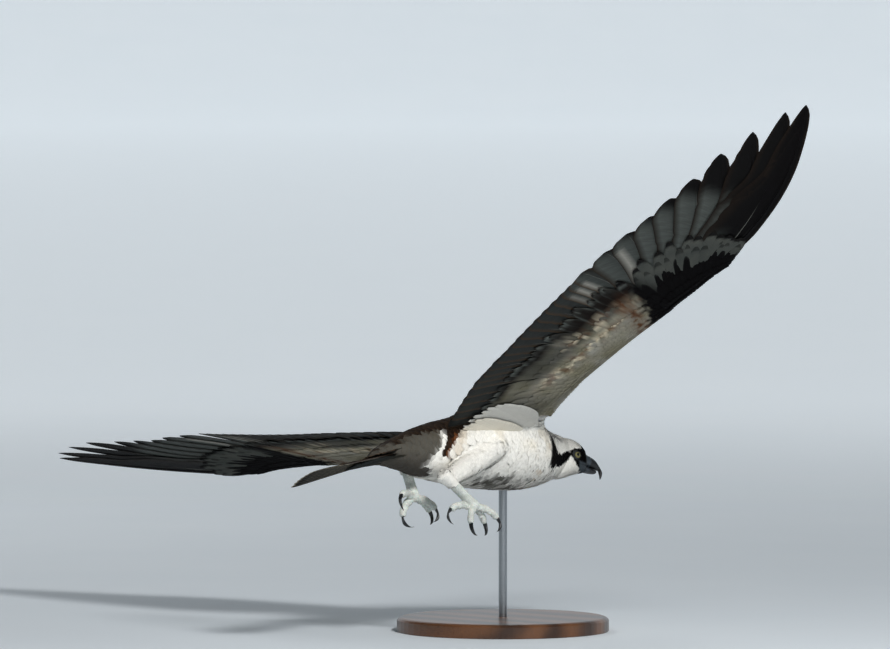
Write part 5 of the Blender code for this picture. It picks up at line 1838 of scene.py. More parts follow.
@dataclass
class TailCoat:
    """Twelve tail feathers with the coverts over and under their roots."""

    base: tuple = (0.0, 0.195, -0.0500)
    droop: float = math.radians(14.5)
    seed: int = 21
    # rows of coverts: start behind the base, length, number of feathers
    over: tuple = ((0.012, 0.058, 9), (-0.008, 0.052, 9), (-0.026, 0.046, 8), (-0.042, 0.040, 7))
    under: tuple = ((0.020, 0.078, 9), (-0.002, 0.070, 9), (-0.022, 0.060, 9), (-0.040, 0.050, 8))

    def place(self, x: Array, v: Array, lift: Array) -> Array:
        """Bring tail points to the level bird.

        Args:
            x: Distance to the left of the middle.
            v: Distance back from the base.
            lift: Height above the tail's sheet.

        Returns:
            Points of the level bird.
        """
        back = np.array([0.0, math.cos(self.droop), -math.sin(self.droop)])
        up = np.array([0.0, math.sin(self.droop), math.cos(self.droop)])
        return (np.array(self.base) + x[..., None] * np.array([1.0, 0, 0]) + v[..., None] * back
                + (lift - 1.6 * x * x)[..., None] * up)

    def rectrices(self, coat: Coat) -> None:
        """The twelve feathers, the middle pair uppermost."""
        t = np.concatenate([np.linspace(0, 0.86, 18),
                            [0.90, 0.93, 0.955, 0.973, 0.987, 0.996, 1.0]])
        k = np.arange(12)
        tip_x = -0.0535 + 0.107 * k / 11
        far = 0.191 - 4.5 * tip_x**2
        outer = np.where(tip_x > 0, 1.0, -1.0)
        x0 = tip_x * 0.22
        lane = x0[:, None] + (tip_x - x0)[:, None] * (t**1.12)[None]
        run = far[:, None] * t[None]
        form = table(t, (0, 0.45), (0.35, 0.95), (0.8, 1.0), (0.90, 0.95), (0.955, 0.76),
                     (0.987, 0.46), (1, 0.05))
        w_out, w_in = 0.0085 * form, 0.0145 * form
        stem = table(t, (0, 0.0012), (0.6, 0.0007), (1, 0.0002))
        cross = np.array([-1.0, -0.70, -0.35, -0.06, 0.0, 0.08, 0.5, 1.0])
        c = np.stack([-w_in, -0.7 * w_in, -0.35 * w_in, -stem, 0 * stem, stem,
                      0.5 * (w_out + stem), w_out], -1)
        x = lane[:, :, None] + outer[:, None, None] * c[None]
        v = np.broadcast_to(run[:, :, None], x.shape)
        rank = np.abs(k - 5.5) - 0.5
        lift = (-0.00042 * rank)[:, None, None] - 0.05 * c[None]
        lift = lift + (0.0022 * (1 - t) ** 2)[None, :, None]
        ridge = np.zeros(8)
        ridge[4] = 1.0
        raised = ridge * stem[:, None] * 0.8
        top = self.place(x, v, lift + raised + 0.00018)
        below = self.place(x, v, lift - raised - 0.00018)
        _, tt, cc = np.broadcast_arrays(x, t[None, :, None], cross[None, None])
        middle = (rank < 0.6)[:, None, None] * 1.0
        end = ease((tt - 0.88) / 0.05) * (1 - ease((tt - 0.975) / 0.015))
        above = mix(Plumage.BROWN.rgb, Plumage.FRINGE.rgb,
                    0.10 + 0.25 * np.clip(-cc, 0, 1) * (1 - middle))
        above = mix(above, Plumage.BLACK.rgb, end * 0.7)
        above = mix(above, Plumage.CREAM.rgb, ease((tt - 0.980) / 0.010) * 0.4)
        # the under side, pale grey with bars in life, is painted dark as painted shade
        under = mix(Plumage.ASH.rgb, Plumage.PALE_ASH.rgb, np.clip(-cc, 0, 1) * 0.5)
        under = mix(under, Plumage.DARK.rgb, 0.65 + np.clip(cc, 0, 1) * 0.30)
        under = mix(under, Plumage.BLACK.rgb, end * 0.85)
        under = mix(under, Plumage.CREAM.rgb, ease((tt - 0.980) / 0.010) * 0.4)
        shaft = np.exp(-(cc / 0.03) ** 2)
        under = mix(under, Plumage.CREAM.rgb, shaft * 0.3)
        vane = np.stack([np.broadcast_to(c[None], x.shape), v], -1) * 100.0
        bake = quill_map(k, len(k), t, cross)
        bars = (1 - end) * (0.35 + 0.4 * np.clip(-cc, 0, 1)) * ease((0.97 - tt) / 0.02)
        for group, order in ((outer > 0, 1), (outer < 0, -1)):
            coat.add(*(values[group][:, :, ::order]
                       for values in (top, below, above, under, vane, bake, bars * 0.4, bars)))

    def coverts(self, coat: Coat, upper: bool) -> None:
        """Rows of long coverts over or under the tail's root."""
        rng = np.random.default_rng(self.seed + (1 if upper else 2))
        t = COVERT_SHARES
        x = across(5)
        for number, (start, length, count) in enumerate(self.over if upper else self.under):
            share = np.linspace(-1, 1, count) + (rng.random(count) - 0.5) * 0.10
            half_span = 0.010 + 0.15 * max(0.0, start)
            size = length * (0.92 + 0.16 * rng.random(count)) * (1 - 0.12 * share**2)
            x0 = share * half_span
            lane = x0[:, None] * (1 + 0.9 * t[None])
            run = start + size[:, None] * t[None]
            half = 0.0095 * oval_outline(t, 2.0)[None] + 0 * lane
            c = half[..., None] * x
            across_x = lane[..., None] + c
            v = np.broadcast_to(run[..., None], across_x.shape)
            thick = table(run, (-0.03, 0.0085), (0.0, 0.0070), (0.05, 0.0042), (0.1, 0.0026))
            thick = thick[..., None]
            lay = (thick * (1 - 0.30 * share[:, None, None] ** 2)
                   + 0.0010 * number * (1 - 0.5 * t[None, :, None]))
            lay = lay * (0.25 + 0.75 * ease(t / 0.3))[None, :, None] + (1 - x**2) * 0.0012
            sign = 1.0 if upper else -1.0
            top = self.place(across_x, v, sign * lay + 0.0002)
            below = self.place(across_x, v, sign * lay - 0.0002)
            if upper:
                tip = np.broadcast_to(ease((t - 0.85) / 0.12)[None, :, None] * 0.5, v.shape)
                colour = mix(Plumage.BROWN.rgb, Plumage.FRINGE.rgb, tip)
            else:
                # painted shade: the under tail coverts, white in life, are painted olive darkening
                # to slate
                colour = mix(Plumage.OLIVE.rgb, Plumage.SLATE.rgb, ease((v - 0.01) / 0.06))
            colour = colour * (0.93 + 0.12 * rng.random((count, 1, 1, 1)))
            spot = np.stack([0.5 + x0 * 12 + (0.0 if upper else 0.001),
                             np.full(count, 0.2 + start * 3) + (0.5 if upper else 0.0)], -1)
            coat.add(top, below, colour, colour, vane_map(c, t, size), tuft_map(spot, t, x))

    def build(self, flight: bpy.types.Material, soft: bpy.types.Material) -> list[bpy.types.Object]:
        """Make the tail's pieces.

        Args:
            flight: Finish of the tail feathers.
            soft: Finish of the coverts.

        Returns:
            Tail feathers and their coverts.
        """
        fan = Coat("quills_tail")
        self.rectrices(fan)
        cover = Coat("coverts_tail")
        self.coverts(cover, True)
        self.coverts(cover, False)
        return [fan.build(flight), cover.build(soft)]


# ---------------------------------------------------------------------- finishes
def rgba(code: str) -> tuple[float, ...]:
    """Linear colour with full alpha from an sRGB hex code."""
    return (*linear(code), 1.0)


class Graph:
    """A new material and short names for the nodes that the finishes share."""

    def __init__(self, name: str) -> None:
        """Start the material with its shader."""
        self.material = bpy.data.materials.new(name)
        self.material.use_nodes = True
        self.tree = self.material.node_tree
        self.shader = self.tree.nodes["Principled BSDF"]

    def feed(self, node: bpy.types.Node, inputs: dict) -> None:
        """Set a node's inputs; they are values, or sockets to link."""
        for key, value in inputs.items():
            if isinstance(value, bpy.types.NodeSocket):
                self.tree.links.new(value, node.inputs[key])
            else:
                node.inputs[key].default_value = value

    def add(self, kind: str, inputs: dict, **settings: object) -> bpy.types.Node:
        """Add a node with its inputs and settings."""
        made = self.tree.nodes.new("ShaderNode" + kind)
        for key, value in settings.items():
            setattr(made, key, value)
        self.feed(made, inputs)
        return made

    def place(self) -> bpy.types.NodeSocket:
        """Points in the object's own frame."""
        return self.add("TexCoord", {}).outputs["Object"]

    def uv(self, name: str) -> tuple[bpy.types.NodeSocket, bpy.types.NodeSocket]:
        """The two numbers of a map."""
        parts = self.add("SeparateXYZ", {0: self.add("UVMap", {}, uv_map=name).outputs[0]})
        return parts.outputs[0], parts.outputs[1]

    def attribute(self, name: str, output: str = "Color") -> bpy.types.NodeSocket:
        """A value stored with the mesh."""
        return self.add("Attribute", {}, attribute_name=name).outputs[output]

    def math(self, operation: str, *values: object) -> bpy.types.NodeSocket:
        """Sum of one, two or three numbers."""
        return self.add("Math", dict(enumerate(values)), operation=operation).outputs[0]

    def vector(self, operation: str, *values: object) -> bpy.types.Node:
        """Sum of vectors."""
        return self.add("VectorMath", dict(enumerate(values)), operation=operation)

    def span(self, value: bpy.types.NodeSocket, start: tuple, end: tuple = (0.0, 1.0),
             kind: str = "SMOOTHSTEP") -> bpy.types.NodeSocket:
        """Bring a number from one range, low and high, to another."""
        ends = {"From Min": start[0], "From Max": start[1], "To Min": end[0], "To Max": end[1]}
        return self.add("MapRange", {"Value": value, **ends}, interpolation_type=kind).outputs[0]

    def noise(self, vector: bpy.types.NodeSocket, scale: float, detail: float,
              **more: float) -> bpy.types.NodeSocket:
        """Cloudy pattern from 0 to 1."""
        inputs = {"Vector": vector, "Scale": scale, "Detail": detail, **more}
        return self.add("TexNoise", inputs).outputs[0]

    def stretched(self, vector: bpy.types.NodeSocket, scale: tuple,
                  **more: tuple) -> bpy.types.NodeSocket:
        """Scale points, and turn or move them."""
        return self.add("Mapping", {"Vector": vector, "Scale": scale, **more}).outputs[0]

    def blend(self, share: bpy.types.NodeSocket, first: object,
              second: object) -> bpy.types.NodeSocket:
        """Blend two colours, sockets or sRGB hex codes."""
        first, second = (rgba(c) if isinstance(c, str) else c for c in (first, second))
        return self.add("Mix", {0: share, 6: first, 7: second}, data_type="RGBA").outputs[2]

    def toned(self, colour: bpy.types.NodeSocket,
              share: bpy.types.NodeSocket) -> bpy.types.NodeSocket:
        """Lighten or darken a colour."""
        return self.add("VectorMath", {0: colour, "Scale": share}, operation="SCALE").outputs[0]

    def bump(self, height: bpy.types.NodeSocket, strength: float, distance: float,
             **settings: bool) -> bpy.types.NodeSocket:
        """Relief finer than the mesh."""
        inputs = {"Height": height, "Strength": strength, "Distance": distance}
        return self.add("Bump", inputs, **settings).outputs[0]


@dataclass(frozen=True)
class Finish:
    """A named surface; its subclasses draw the pattern."""

    name: str
    roughness: float = 0.6
    ior: float = 1.5

    def pattern(self, graph: Graph) -> dict[str, object]:
        """Inputs of the shader."""
        raise NotImplementedError

    def material(self) -> bpy.types.Material:
        """Build the material."""
        graph = Graph(self.name)
        graph.feed(graph.shader, {"Roughness": self.roughness, "IOR": self.ior})
        graph.feed(graph.shader, self.pattern(graph))
        return graph.material


@dataclass(frozen=True)
class Feather(Finish):
    """Keratin vanes: matt, with slanting barbs and, on quills, dark bars.

    Real barbs stand 0.3 to 0.5 mm apart; barb_mm draws them coarser so that they show.
    """

    barb_mm: float = 1.6
    barb_depth: float = 0.35
    bar_mm: float = 17.0
    gloss: float = 0.02          # barbs scatter most of what bare keratin would mirror
    ior: float = 1.55

    def pattern(self, graph: Graph) -> dict[str, object]:
        """Barbs, the feather's own tint and its bars."""
        side, run = graph.uv("vane")
        wide = graph.math("ABSOLUTE", side)
        slant = graph.math("MULTIPLY_ADD", wide, -0.85, run)
        barbs = graph.add("CombineXYZ", {0: side, 1: slant}).outputs[0]
        frayed = graph.stretched(barbs, (0.35, 10.0 / self.barb_mm, 1.0))
        grain = graph.noise(frayed, 1.0, 3.0, Roughness=0.6)
        shade = graph.span(grain, (0.3, 0.7), (0.84, 1.10), "LINEAR")
        toned = graph.toned(graph.attribute("tint"), shade)
        # bars lie square to the shaft and bend a little towards the tip at the edges
        bent = graph.math("MULTIPLY_ADD", wide, -0.30, run)
        moved = graph.math("MULTIPLY_ADD", graph.noise(barbs, 0.8, 1.0), 0.9, bent)
        wave = graph.math("SINE", graph.math("MULTIPLY", moved, math.tau * 10.0 / self.bar_mm))
        bar = graph.span(wave, (-0.15, 0.35))
        share = graph.math("MULTIPLY", bar, graph.attribute("bars", "Fac"))
        return {"Base Color": graph.blend(share, toned, "2A2320"),
                "Normal": graph.bump(grain, self.barb_depth, 0.0006),
                "Specular IOR Level": self.gloss}


@dataclass(frozen=True)
class BareSkin(Finish):
    """Skin under the coat, lids and scaly feet: matt keratin over soft tissue."""

    ior: float = 1.45
    pore_mm: float = 1.1
    stain_mm: float = 9.0

    def pattern(self, graph: Graph) -> dict[str, object]:
        """Pores and stains over the tint."""
        spot = graph.place()
        pores = graph.add("TexVoronoi", {"Vector": spot, "Scale": 1000.0 / self.pore_mm})
        seams = graph.span(pores.outputs["Distance"], (0.35, 0.75), (1.0, 0.72), "LINEAR")
        stain = graph.noise(spot, 1000.0 / self.stain_mm, 4.0)
        shade = graph.span(stain, (0.3, 0.7), (0.80, 1.10), "LINEAR")
        both = graph.math("MULTIPLY", shade, seams)
        return {"Base Color": graph.toned(graph.attribute("tint"), both),
                "Normal": graph.bump(pores.outputs["Distance"], 0.35, 0.0004, invert=True),
                "Subsurface Weight": 0.08, "Subsurface Scale": 0.002}


@dataclass(frozen=True)
class Horn(Finish):
    """Bill and claw horn: black keratin, polished by wear, with growth lines along it.

    The attribute cere turns it to the waxy blue-grey skin at the bill's base.
    """

    roughness: float = 0.30
    ior: float = 1.55
    line_mm: float = 0.7
    cloud_mm: float = 6.0

    def pattern(self, graph: Graph) -> dict[str, object]:
        """Growth lines and clouds."""
        spot = graph.place()
        lines = graph.noise(spot, 1000.0 / self.line_mm, 3.0, Distortion=0.6)
        cloud = graph.noise(spot, 1000.0 / self.cloud_mm, 2.0)
        dark = graph.blend(cloud, "09090B", "17181B")
        wax = graph.blend(cloud, "20262B", "3A434B")
        gloss = (self.roughness - 0.08, self.roughness + 0.22)
        return {"Base Color": graph.blend(graph.attribute("cere", "Fac"), dark, wax),
                "Roughness": graph.span(lines, (0.0, 1.0), gloss, "LINEAR"),
                "Normal": graph.bump(lines, 0.12, 0.0002)}


@dataclass(frozen=True)
class Eye(Finish):
    """Wet eyeball: black pupil, yellow iris with fine spokes, dark rim."""

    roughness: float = 0.08
    ior: float = 1.38
    pupil: float = 0.24          # radians from the axis
    iris: float = 0.64

    def pattern(self, graph: Graph) -> dict[str, object]:
        """Pupil, iris and rim by the angle from the eye's axis."""
        turn, off_axis = graph.uv("iris")
        spoke = graph.add("CombineXYZ", {0: turn, 1: off_axis}).outputs[0]
        fibres = graph.noise(graph.stretched(spoke, (46.0, 2.2, 1.0)), 1.0, 3.0)
        gold = graph.blend(fibres, "504B2A", "837D4E")
        rim = graph.span(off_axis, (self.iris - 0.07, self.iris))
        hole = graph.span(off_axis, (self.pupil, self.pupil + 0.035))
        return {"Base Color": graph.blend(hole, "020202", graph.blend(rim, gold, "0C0A08")),
                "Coat Weight": 0.30, "Coat Roughness": 0.10}


@dataclass(frozen=True)
class Walnut(Finish):
    """Oiled walnut: long dark grain with open pores, satin from wax."""

    roughness: float = 0.38
    ring_mm: float = 9.0

    def pattern(self, graph: Graph) -> dict[str, object]:
        """Rings of a plank cut askew, with pores along them."""
        spot = graph.place()
        plank = graph.stretched(spot, (0.10, 1.0, 1.0), Location=(0.02, 0.31, 0.12),
                                Rotation=(0.04, 0.10, 0.3))
        drift = graph.add("TexNoise", {"Vector": plank, "Scale": 14.0, "Detail": 3.0})
        bent = graph.vector("MULTIPLY_ADD", drift.outputs["Color"], (0.03, 0.03, 0.03), plank)
        rings = graph.add("TexWave", {"Vector": bent.outputs[0], "Distortion": 2.5, "Detail": 3.0,
                                      "Scale": 1000.0 / self.ring_mm / 20.0, "Detail Scale": 2.0},
                          wave_type="RINGS", rings_direction="X")
        fine = graph.stretched(spot, (60.0, 1500.0, 1500.0), Rotation=(0, 0, 0.3))
        pores = graph.span(graph.noise(fine, 1.0, 2.0), (0.38, 0.52), (0.62, 1.0), "LINEAR")
        wood = graph.blend(rings.outputs[1], "3B2416", "6E472B")
        return {"Base Color": graph.toned(wood, pores), "Normal": graph.bump(pores, 0.15, 0.0003),
                "Coat Weight": 0.25, "Coat Roughness": 0.25}


@dataclass(frozen=True)
class BrushedSteel(Finish):
    """Stainless rod, brushed round its length: fine rings in the gloss."""

    roughness: float = 0.28

    def pattern(self, graph: Graph) -> dict[str, object]:
        """Fine rings."""
        brush = graph.noise(graph.stretched(graph.place(), (20.0, 20.0, 3000.0)), 1.0, 3.0)
        gloss = (self.roughness - 0.08, self.roughness + 0.15)
        return {"Base Color": graph.blend(brush, "8E9296", "BFC3C6"), "Metallic": 1.0,
                "Roughness": graph.span(brush, (0.0, 1.0), gloss, "LINEAR"),
                "Normal": graph.bump(brush, 0.08, 0.0001)}


@dataclass(frozen=True)
class FloorPaint(Finish):
    """Matt pale paint; the wall behind the bird glows as if lit by its own lamps."""

    roughness: float = 0.9
    away: tuple = (0.0, 1.0, 0.0)          # level direction of the wall
    glow: float = 0.62
    reach: float = 6.5                     # where the glow is full

    def pattern(self, graph: Graph) -> dict[str, object]:
        """Faint clouds, and the glow that grows with the distance."""
        spot = graph.place()
        paint = graph.blend(graph.noise(spot, 3.0, 2.0), "D9E0E5", "DEE4E8")
        level = graph.vector("MULTIPLY", spot, (1.0, 1.0, 0.0)).outputs[0]
        far = graph.vector("LENGTH", level).outputs["Value"]
        side = graph.vector("DOT_PRODUCT", graph.vector("NORMALIZE", level).outputs[0], self.away)
        behind = graph.span(side.outputs["Value"], (0.0, 0.7))
        deep = graph.span(far, (0.0, self.reach), (0.0, self.glow))
        return {"Base Color": paint, "Emission Color": paint,
                "Emission Strength": graph.math("MULTIPLY", behind, deep)}


# ---------------------------------------------------------------------- hard pieces
def smooth_shade(obj: bpy.types.Object, degrees: float = 60.0) -> None:
    """Shade round, with edges sharper than an angle kept."""
    select_only(obj)
    bpy.ops.object.shade_smooth_by_angle(angle=math.radians(degrees))


def place_mesh(obj: bpy.types.Object, matrix: Matrix) -> None:
    """Put an object's place into its mesh."""
    obj.data.transform(matrix @ obj.matrix_world)
    obj.matrix_world = Matrix.Identity(4)
    obj.data.update()


@dataclass
class Hook:
    """A horn hook swept along a path in its own upright plane (x is across)."""

    name: str
    path: Array                  # points ahead (y) and up (z)
    half_width: Array
    half_height: Array
    sides: int
    level: int                   # of subdivision

    def build(self) -> bpy.types.Object:
        """Extrude a disc along the path, turning and narrowing it as it goes.

        Returns:
            The closed hook, still in its own frame.
        """
        ahead = unit(np.gradient(self.path, axis=0))
        turn = -np.arctan2(ahead[:, 1], -ahead[:, 0])
        spots = [Vector((0.0, *p)) for p in self.path]
        bpy.ops.object.select_all(action="DESELECT")
        bpy.ops.mesh.primitive_circle_add(vertices=self.sides, radius=1.0, fill_type="NGON",
                                          location=spots[0], rotation=(math.pi / 2, 0.0, 0.0))
        obj = bpy.context.active_object
        obj.name = self.name
        bpy.ops.object.mode_set(mode="EDIT")
        bpy.ops.mesh.select_all(action="SELECT")
        bpy.ops.transform.resize(value=(self.half_width[0], 1.0, self.half_height[0]),
                                 center_override=spots[0])
        for i in range(1, len(spots)):
            step = {"value": spots[i] - spots[i - 1]}
            bpy.ops.mesh.extrude_region_move(TRANSFORM_OT_translate=step)
            bpy.ops.transform.rotate(value=turn[i] - turn[i - 1], orient_axis="X",
                                     center_override=spots[i])
            tall = self.half_height[i] / self.half_height[i - 1]
            wide = self.half_width[i] / self.half_width[i - 1]
            bpy.ops.transform.resize(value=(wide, tall, tall), center_override=spots[i])
        bpy.ops.mesh.select_all(action="SELECT")
        bpy.ops.mesh.normals_make_consistent(inside=False)
        bpy.ops.object.mode_set(mode="OBJECT")
        place_mesh(obj, Matrix.Identity(4))
        apply_modifier(obj, "SUBSURF", levels=self.level, render_levels=self.level)
        return obj


@dataclass
class Head:
    """Eyes and bill."""

    start: float = 0.0202
    cere_length: float = 0.0078

    def eye(self, sign: int, finish: bpy.types.Material) -> bpy.types.Object:
        """One eyeball with its cornea.

        Args:
            sign: 1 for the left eye, -1 for the right.
            finish: Its material.

        Returns:
            The piece.
        """
        centre, out, _, _ = Skin.eye_axes(sign)
        tag = "left" if sign > 0 else "right"
        bpy.ops.object.select_all(action="DESELECT")
        bpy.ops.mesh.primitive_uv_sphere_add(segments=48, ring_count=32,
                                             radius=BODY.eye_radius - 0.00005)
        obj = bpy.context.active_object
        obj.name = f"eyeball_{tag}"
        points, _ = mesh_arrays(obj)
        off_axis = np.arccos(np.clip(points[:, 2] / np.linalg.norm(points, axis=1), -1, 1))
        bulge = 0.0006 * np.clip(1 - (off_axis / 0.62) ** 2, 0, 1) ** 1.5
        bulged = points * (1 + bulge / BODY.eye_radius)[:, None]
        move_points(obj, bulged)
        layer = obj.data.uv_layers.new(name="iris")
        loops = np.empty(len(obj.data.loops), np.int32)
        obj.data.loops.foreach_get("vertex_index", loops)
        around = np.arctan2(points[:, 1], points[:, 0]) / math.tau
        uv = np.stack([around[loops], off_axis[loops]], -1).reshape(-1, 2)
        faces = np.empty(len(obj.data.polygons), np.int32)
        obj.data.polygons.foreach_get("loop_start", faces)
        ends = np.append(faces[1:], len(loops))
        for a, b in zip(faces, ends):
            # a face that crosses the seam, or touches the pole, takes one side's angle
            part = uv[a:b, 0]
            if part.max() - part.min() > 0.5:
                uv[a:b, 0] = np.where(part < 0, part + 1.0, part)
            pole = off_axis[loops[a:b]] < 1e-3
            if pole.any():
                uv[a:b, 0][pole] = uv[a:b, 0][~pole].mean()
        layer.data.foreach_set("uv", uv.astype(np.float32).ravel())
        turn = Vector(out).to_track_quat("Z", "Y").to_matrix().to_4x4()
        place_mesh(obj, attitude() @ BODY.head_matrix() @ Matrix.Translation(Vector(centre)) @ turn)
        obj.data.materials.append(finish)
        smooth_shade(obj)
        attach(obj, "root")
        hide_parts(f"eye_{tag}")
        return obj

    def bill(self, upper: bool, finish: bpy.types.Material) -> bpy.types.Object:
        """One half of the bill.

        Args:
            upper: The hooked upper half with its cere, or the lower.
            finish: Its material.

        Returns:
            The piece.
        """
        if upper:
            line = np.array(((-0.0024, 0.0000, 0.0096, 0.0100), (0.0, -0.0006, 0.0098, 0.0099),
                             (0.007, -0.0027, 0.0090, 0.0086), (0.0138, -0.0044, 0.0076, 0.0079),
                             (0.0191, -0.0070, 0.0061, 0.0071), (0.0229, -0.0108, 0.0046, 0.0048),
                             (0.0247, -0.0148, 0.0034, 0.0036), (0.0251, -0.0190, 0.0023, 0.0025),
                             (0.0250, -0.0228, 0.0014, 0.0016), (0.0242, -0.0265, 0.0005, 0.0006)))
        else:
            line = np.array(((-0.0020, -0.0148, 0.0078, 0.0037), (0.0, -0.0150, 0.0080, 0.0037),
                             (0.006, -0.0156, 0.0071, 0.0038), (0.011, -0.0159, 0.0058, 0.0037),
                             (0.0155, -0.0163, 0.0042, 0.0029), (0.0183, -0.0163, 0.0022, 0.0015)))
        run = run_along(line[:, :2])
        s, z, wide, tall = spline(run, line, np.linspace(0, run[-1], 16 if upper else 9)).T
        name = "bill_hooked" if upper else "bill_under"
        path = np.stack([-self.start - s, z], -1)
        obj = Hook(name, path, wide, tall, sides=20, level=2).build()
        points, normals = mesh_arrays(obj)
        ahead, side, z = -points[:, 1] - self.start, points[:, 0], points[:, 2]
        if upper:
            # narrow the ridge, round the cutting edge under and sink the nostrils
            high = ease((z + 0.004) / 0.010)
            points[:, 0] *= 1.0 - 0.26 * high * ease((ahead - 0.004) / 0.008)
            slant = z - 0.0020 - (ahead - 0.0046) * 0.6
            slit = np.exp(-((ahead - 0.0046) / 0.0012) ** 2 - (slant / 0.0017) ** 2)
            points -= normals * (slit * (np.abs(side) > 0.003) * 0.0016)[:, None]
            step = ease((ahead - self.cere_length - 0.16 * (z - 0.002)) / 0.0012)
            points += normals * ((1 - step) * 0.00045 * ease((ahead + 0.001) / 0.002))[:, None]
            move_points(obj, points)
            set_value(obj.data, "cere", np.clip((1 - step) * (1 - 0.9 * slit), 0, 1))
        else:
            set_value(obj.data, "cere", 0.8 * (1 - ease((ahead - 0.003) / 0.003)))
        place_mesh(obj, attitude() @ BODY.head_matrix())
        obj.data.materials.append(finish)
        smooth_shade(obj)
        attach(obj, "root")
        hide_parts("bill_upper" if upper else "bill_lower")
        return obj


@dataclass
class Claws:
    """Eight long round claws."""

    radii: tuple = (0.0034, 0.0036, 0.0034, 0.0029, 0.0023, 0.0017, 0.0011, 0.0004)

    def build(self, leg: int, k: int, finish: bpy.types.Material) -> bpy.types.Object:
        """One claw on its toe.

        Args:
            leg: 0 for the right leg, 1 for the left.
            k: Toe number from 0.
            finish: Its material.

        Returns:
            The piece.
        """
        tag = ("right", "left")[leg]
        _, claw = BODY.toe(leg, k)
        heading = math.radians(BODY.toe_turns[k][0])
        flat = np.array([(-1, 1)[leg] * math.sin(heading), -math.cos(heading), 0.0])
        origin = claw[0]
        ahead, up = (claw - origin) @ flat, (claw - origin)[:, 2]
        first = np.array([ahead[1] - ahead[0], up[1] - up[0]])
        first = first / np.linalg.norm(first) * 0.0022
        path = np.vstack([-first, np.stack([ahead, up], -1)]) * np.array([-1.0, 1.0])
        run = run_along(path)
        fine = spline(run, np.column_stack([path, self.radii]), np.linspace(0, run[-1], 14))
        thick = fine[:, 2]
        obj = Hook(f"talon_{tag}_{k + 1}", fine[:, :2], thick * 0.92, thick, sides=12,
                   level=1).build()
        x_axis = Vector((0, 0, 1)).cross(Vector(flat)) * -1.0
        turn = Matrix((x_axis, -Vector(flat), Vector((0, 0, 1)))).transposed().to_4x4()
        set_value(obj.data, "cere", np.zeros(len(obj.data.vertices)))
        place_mesh(obj, attitude() @ Matrix.Translation(Vector(origin)) @ turn)
        obj.data.materials.append(finish)
        smooth_shade(obj)
        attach(obj, "root")
        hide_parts(f"claw_{tag}_{k + 1}")
        return obj


# ---------------------------------------------------------------------- studio
@dataclass
class Studio:
    """Pale bowl of a floor, soft lights and the camera."""

    floor_radius: float = 34.0
    bend: float = 12.0
    wall: float = 18.0
    distance: float = 12.0
    lens: float = 344.1
    # viewing directions in the level bird's frame
    right: tuple = (-0.72654, -0.67239, -0.14153)
    up: tuple = (-0.29770, 0.12239, 0.94678)
    towards: tuple = (-0.61928, 0.73001, -0.28909)
    aim: tuple = (-0.0588, 0.1570)         # picture's middle right of and above the shoulders

    def axes(self) -> tuple[Vector, Vector, Vector]:
        """World directions to the right, up and towards the viewer, without roll."""
        towards = (attitude().to_3x3() @ Vector(self.towards)).normalized()
        right = Vector((0, 0, 1)).cross(towards).normalized()
        return right, towards.cross(right), towards

    def floor(self) -> bpy.types.Object:
        """Round floor that curves up into a wall."""
        bpy.ops.object.select_all(action="DESELECT")
        bpy.ops.mesh.primitive_circle_add(vertices=128, radius=self.floor_radius,
                                          fill_type="TRIFAN")
        obj = bpy.context.active_object
        obj.name = "floor"
        bm = bmesh.new()
        bm.from_mesh(obj.data)
        rim = [e for e in bm.edges if e.is_boundary]
        last = (0.0, 0.0)
        arc = [(self.bend * math.sin(a), self.bend * (1 - math.cos(a)))
               for a in np.linspace(0, math.pi / 2, 17)[1:]]
        for out, high in arc + [(self.bend, self.bend + self.wall)]:
            made = bmesh.ops.extrude_edge_only(bm, edges=rim)["geom"]
            rim = [g for g in made if isinstance(g, bmesh.types.BMEdge)]
            for v in {v for e in rim for v in e.verts}:
                flat = Vector((v.co.x, v.co.y, 0)).normalized()
                v.co += flat * (out - last[0]) + Vector((0, 0, high - last[1]))
            last = (out, high)
        bmesh.ops.recalc_face_normals(bm, faces=bm.faces)
        if bm.faces[0].normal.z < 0:
            bmesh.ops.reverse_faces(bm, faces=bm.faces)
        bm.to_mesh(obj.data)
        bm.free()
        obj.data.shade_smooth()
        _, _, towards = self.axes()
        away = -Vector((towards.x, towards.y, 0.0)).normalized()
        obj.data.materials.append(FloorPaint("painted_floor", away=tuple(away)).material())
        return obj

    def lamp(self, name: str, direction: Vector, target: Vector, distance: float, size: float,
             watts: float) -> None:
        """Softbox aimed at the bird.

        Args:
            name: Its name.
            direction: From the bird to the lamp.
            target: Point it faces.
            distance: How far away it stands.
            size: Side of the square.
            watts: Power.
        """
        data = bpy.data.lights.new(name, "AREA")
        data.shape, data.size, data.energy = "SQUARE", size, watts
        obj = bpy.data.objects.new(name, data)
        obj.location = target + direction.normalized() * distance
        obj.rotation_euler = direction.to_track_quat("Z", "Y").to_euler()
        obj.visible_camera = False
        bpy.context.collection.objects.link(obj)

    def build(self) -> None:
        """Set up floor, lights, world and camera."""
        self.floor()
        right, up, towards = self.axes()
        shoulders = attitude().translation
        target = shoulders + right * self.aim[0] + up * self.aim[1]
        data = bpy.data.cameras.new("camera")
        data.lens, data.sensor_width = self.lens, 36.0
        data.clip_end = 200.0
        camera = bpy.data.objects.new("camera", data)
        camera.location = target + towards * self.distance
        camera.rotation_euler = towards.to_track_quat("Z", "Y").to_euler()
        bpy.context.collection.objects.link(camera)
        bpy.context.scene.camera = camera
        world = bpy.data.worlds.new("soft_room")
        world.use_nodes = True
        back = world.node_tree.nodes["Background"]
        back.inputs["Color"].default_value = rgba("DDE6EE")
        back.inputs["Strength"].default_value = 0.085
        scene = bpy.context.scene
        scene.world = world
        scene.view_settings.view_transform = "Standard"
        # low over the raised wing's plane, so that flank and breast are lit and its lining is not
        self.lamp("key", right * 0.28 + up * 0.53 + towards * 0.80, shoulders,
                  distance=3.8, size=0.6, watts=126.0)
        self.lamp("rim", -right * 0.5 + up * 0.8 - towards * 0.8, shoulders,
                  distance=3.5, size=1.2, watts=18.0)


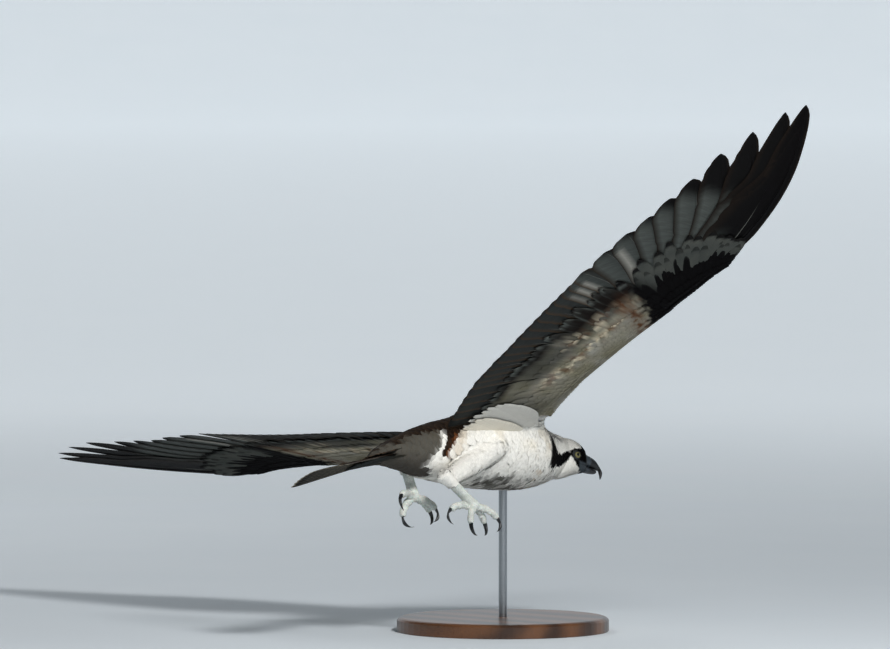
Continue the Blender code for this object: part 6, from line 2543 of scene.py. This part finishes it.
def dress(node: str, material: bpy.types.Material) -> None:
    """Give a kept CAD node its finish."""
    obj = bpy.data.objects[node]
    obj.data.materials.clear()
    obj.data.materials.append(material)


def paint_skin(skin: bpy.types.Object) -> None:
    """Colour the skin like the coat above it, and bare where it is bare."""
    points, _ = mesh_arrays(skin)
    colour = MARKINGS.body(points)
    wing = ease((np.abs(points[:, 0]) - 0.070) / 0.02)[:, None]
    colour = colour * (1 - wing) + wing * Plumage.BROWN.rgb
    scaly = np.zeros(len(points))
    for leg in (0, 1):
        s, gap = from_limb(points, BODY.heel[leg], BODY.foot[leg], 2.0)
        shank = (s > 0.05) & (np.linalg.norm(gap, axis=1) < 0.0135)
        scaly = np.maximum(scaly, shank | on_foot(points, leg, 0.05))
    grey = mix(linear("E4E7DF"), linear("C6CBC3"), dapple(points, 0.006, 30))
    colour = np.where(scaly[:, None] > 0, grey, colour)
    h = BODY.to_head(points)
    spread = np.hypot((h[:, 1] - BODY.eye_back) / 0.0085, (h[:, 2] + BODY.eye_drop) / 0.0078)
    lid = (spread < 1.0) & (np.abs(h[:, 0]) > 0.012)
    lore = (h[:, 1] < -0.0165) & (h[:, 1] > -0.03)
    colour = np.where((lid | lore)[:, None], linear("24282B"), colour)
    set_tint(skin.data, colour)


def main() -> None:
    """Build the looks in order."""
    logging.basicConfig(level=logging.INFO, format="%(message)s")
    feather = Feather("plumage_barbed", roughness=0.70)
    quill = Feather("flight_vane", roughness=0.52, barb_mm=2.0, barb_depth=0.30)
    soft, flight = feather.material(), quill.material()
    horn = Horn("black_horn").material()
    eye = Eye("wet_eye").material()

    skin = Skin().build()
    paint_skin(skin)
    coats = BodyCoat(skin).build(soft)
    place_mesh(skin, attitude())
    skin.data.materials.clear()
    skin.data.materials.append(BareSkin("scaly_skin", roughness=0.55).material())
    smooth_shade(skin, SHARP_EDGE)
    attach(skin, "root")
    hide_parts("head", "neck", "trunk", "tail", "thigh_left", "thigh_right",
                "foot_left", "foot_right", "wing_left_arm", "wing_left_hand", "wing_right_arm",
                "wing_right_hand")

    for form in (RIGHT_WING, LEFT_WING):
        coats += WingCoat(form).build(flight, soft)
    coats += TailCoat().build(flight, soft)

    head = Head()
    for sign in (1, -1):
        head.eye(sign, eye)
    for upper in (True, False):
        head.bill(upper, horn)
    claws = Claws()
    for leg in (0, 1):
        for k in range(4):
            claws.build(leg, k, horn)

    dress("stand_base", Walnut("oiled_walnut").material())
    dress("stand_rod", BrushedSteel("brushed_steel").material())
    Studio().build()


if __name__ == "__main__":
    main()
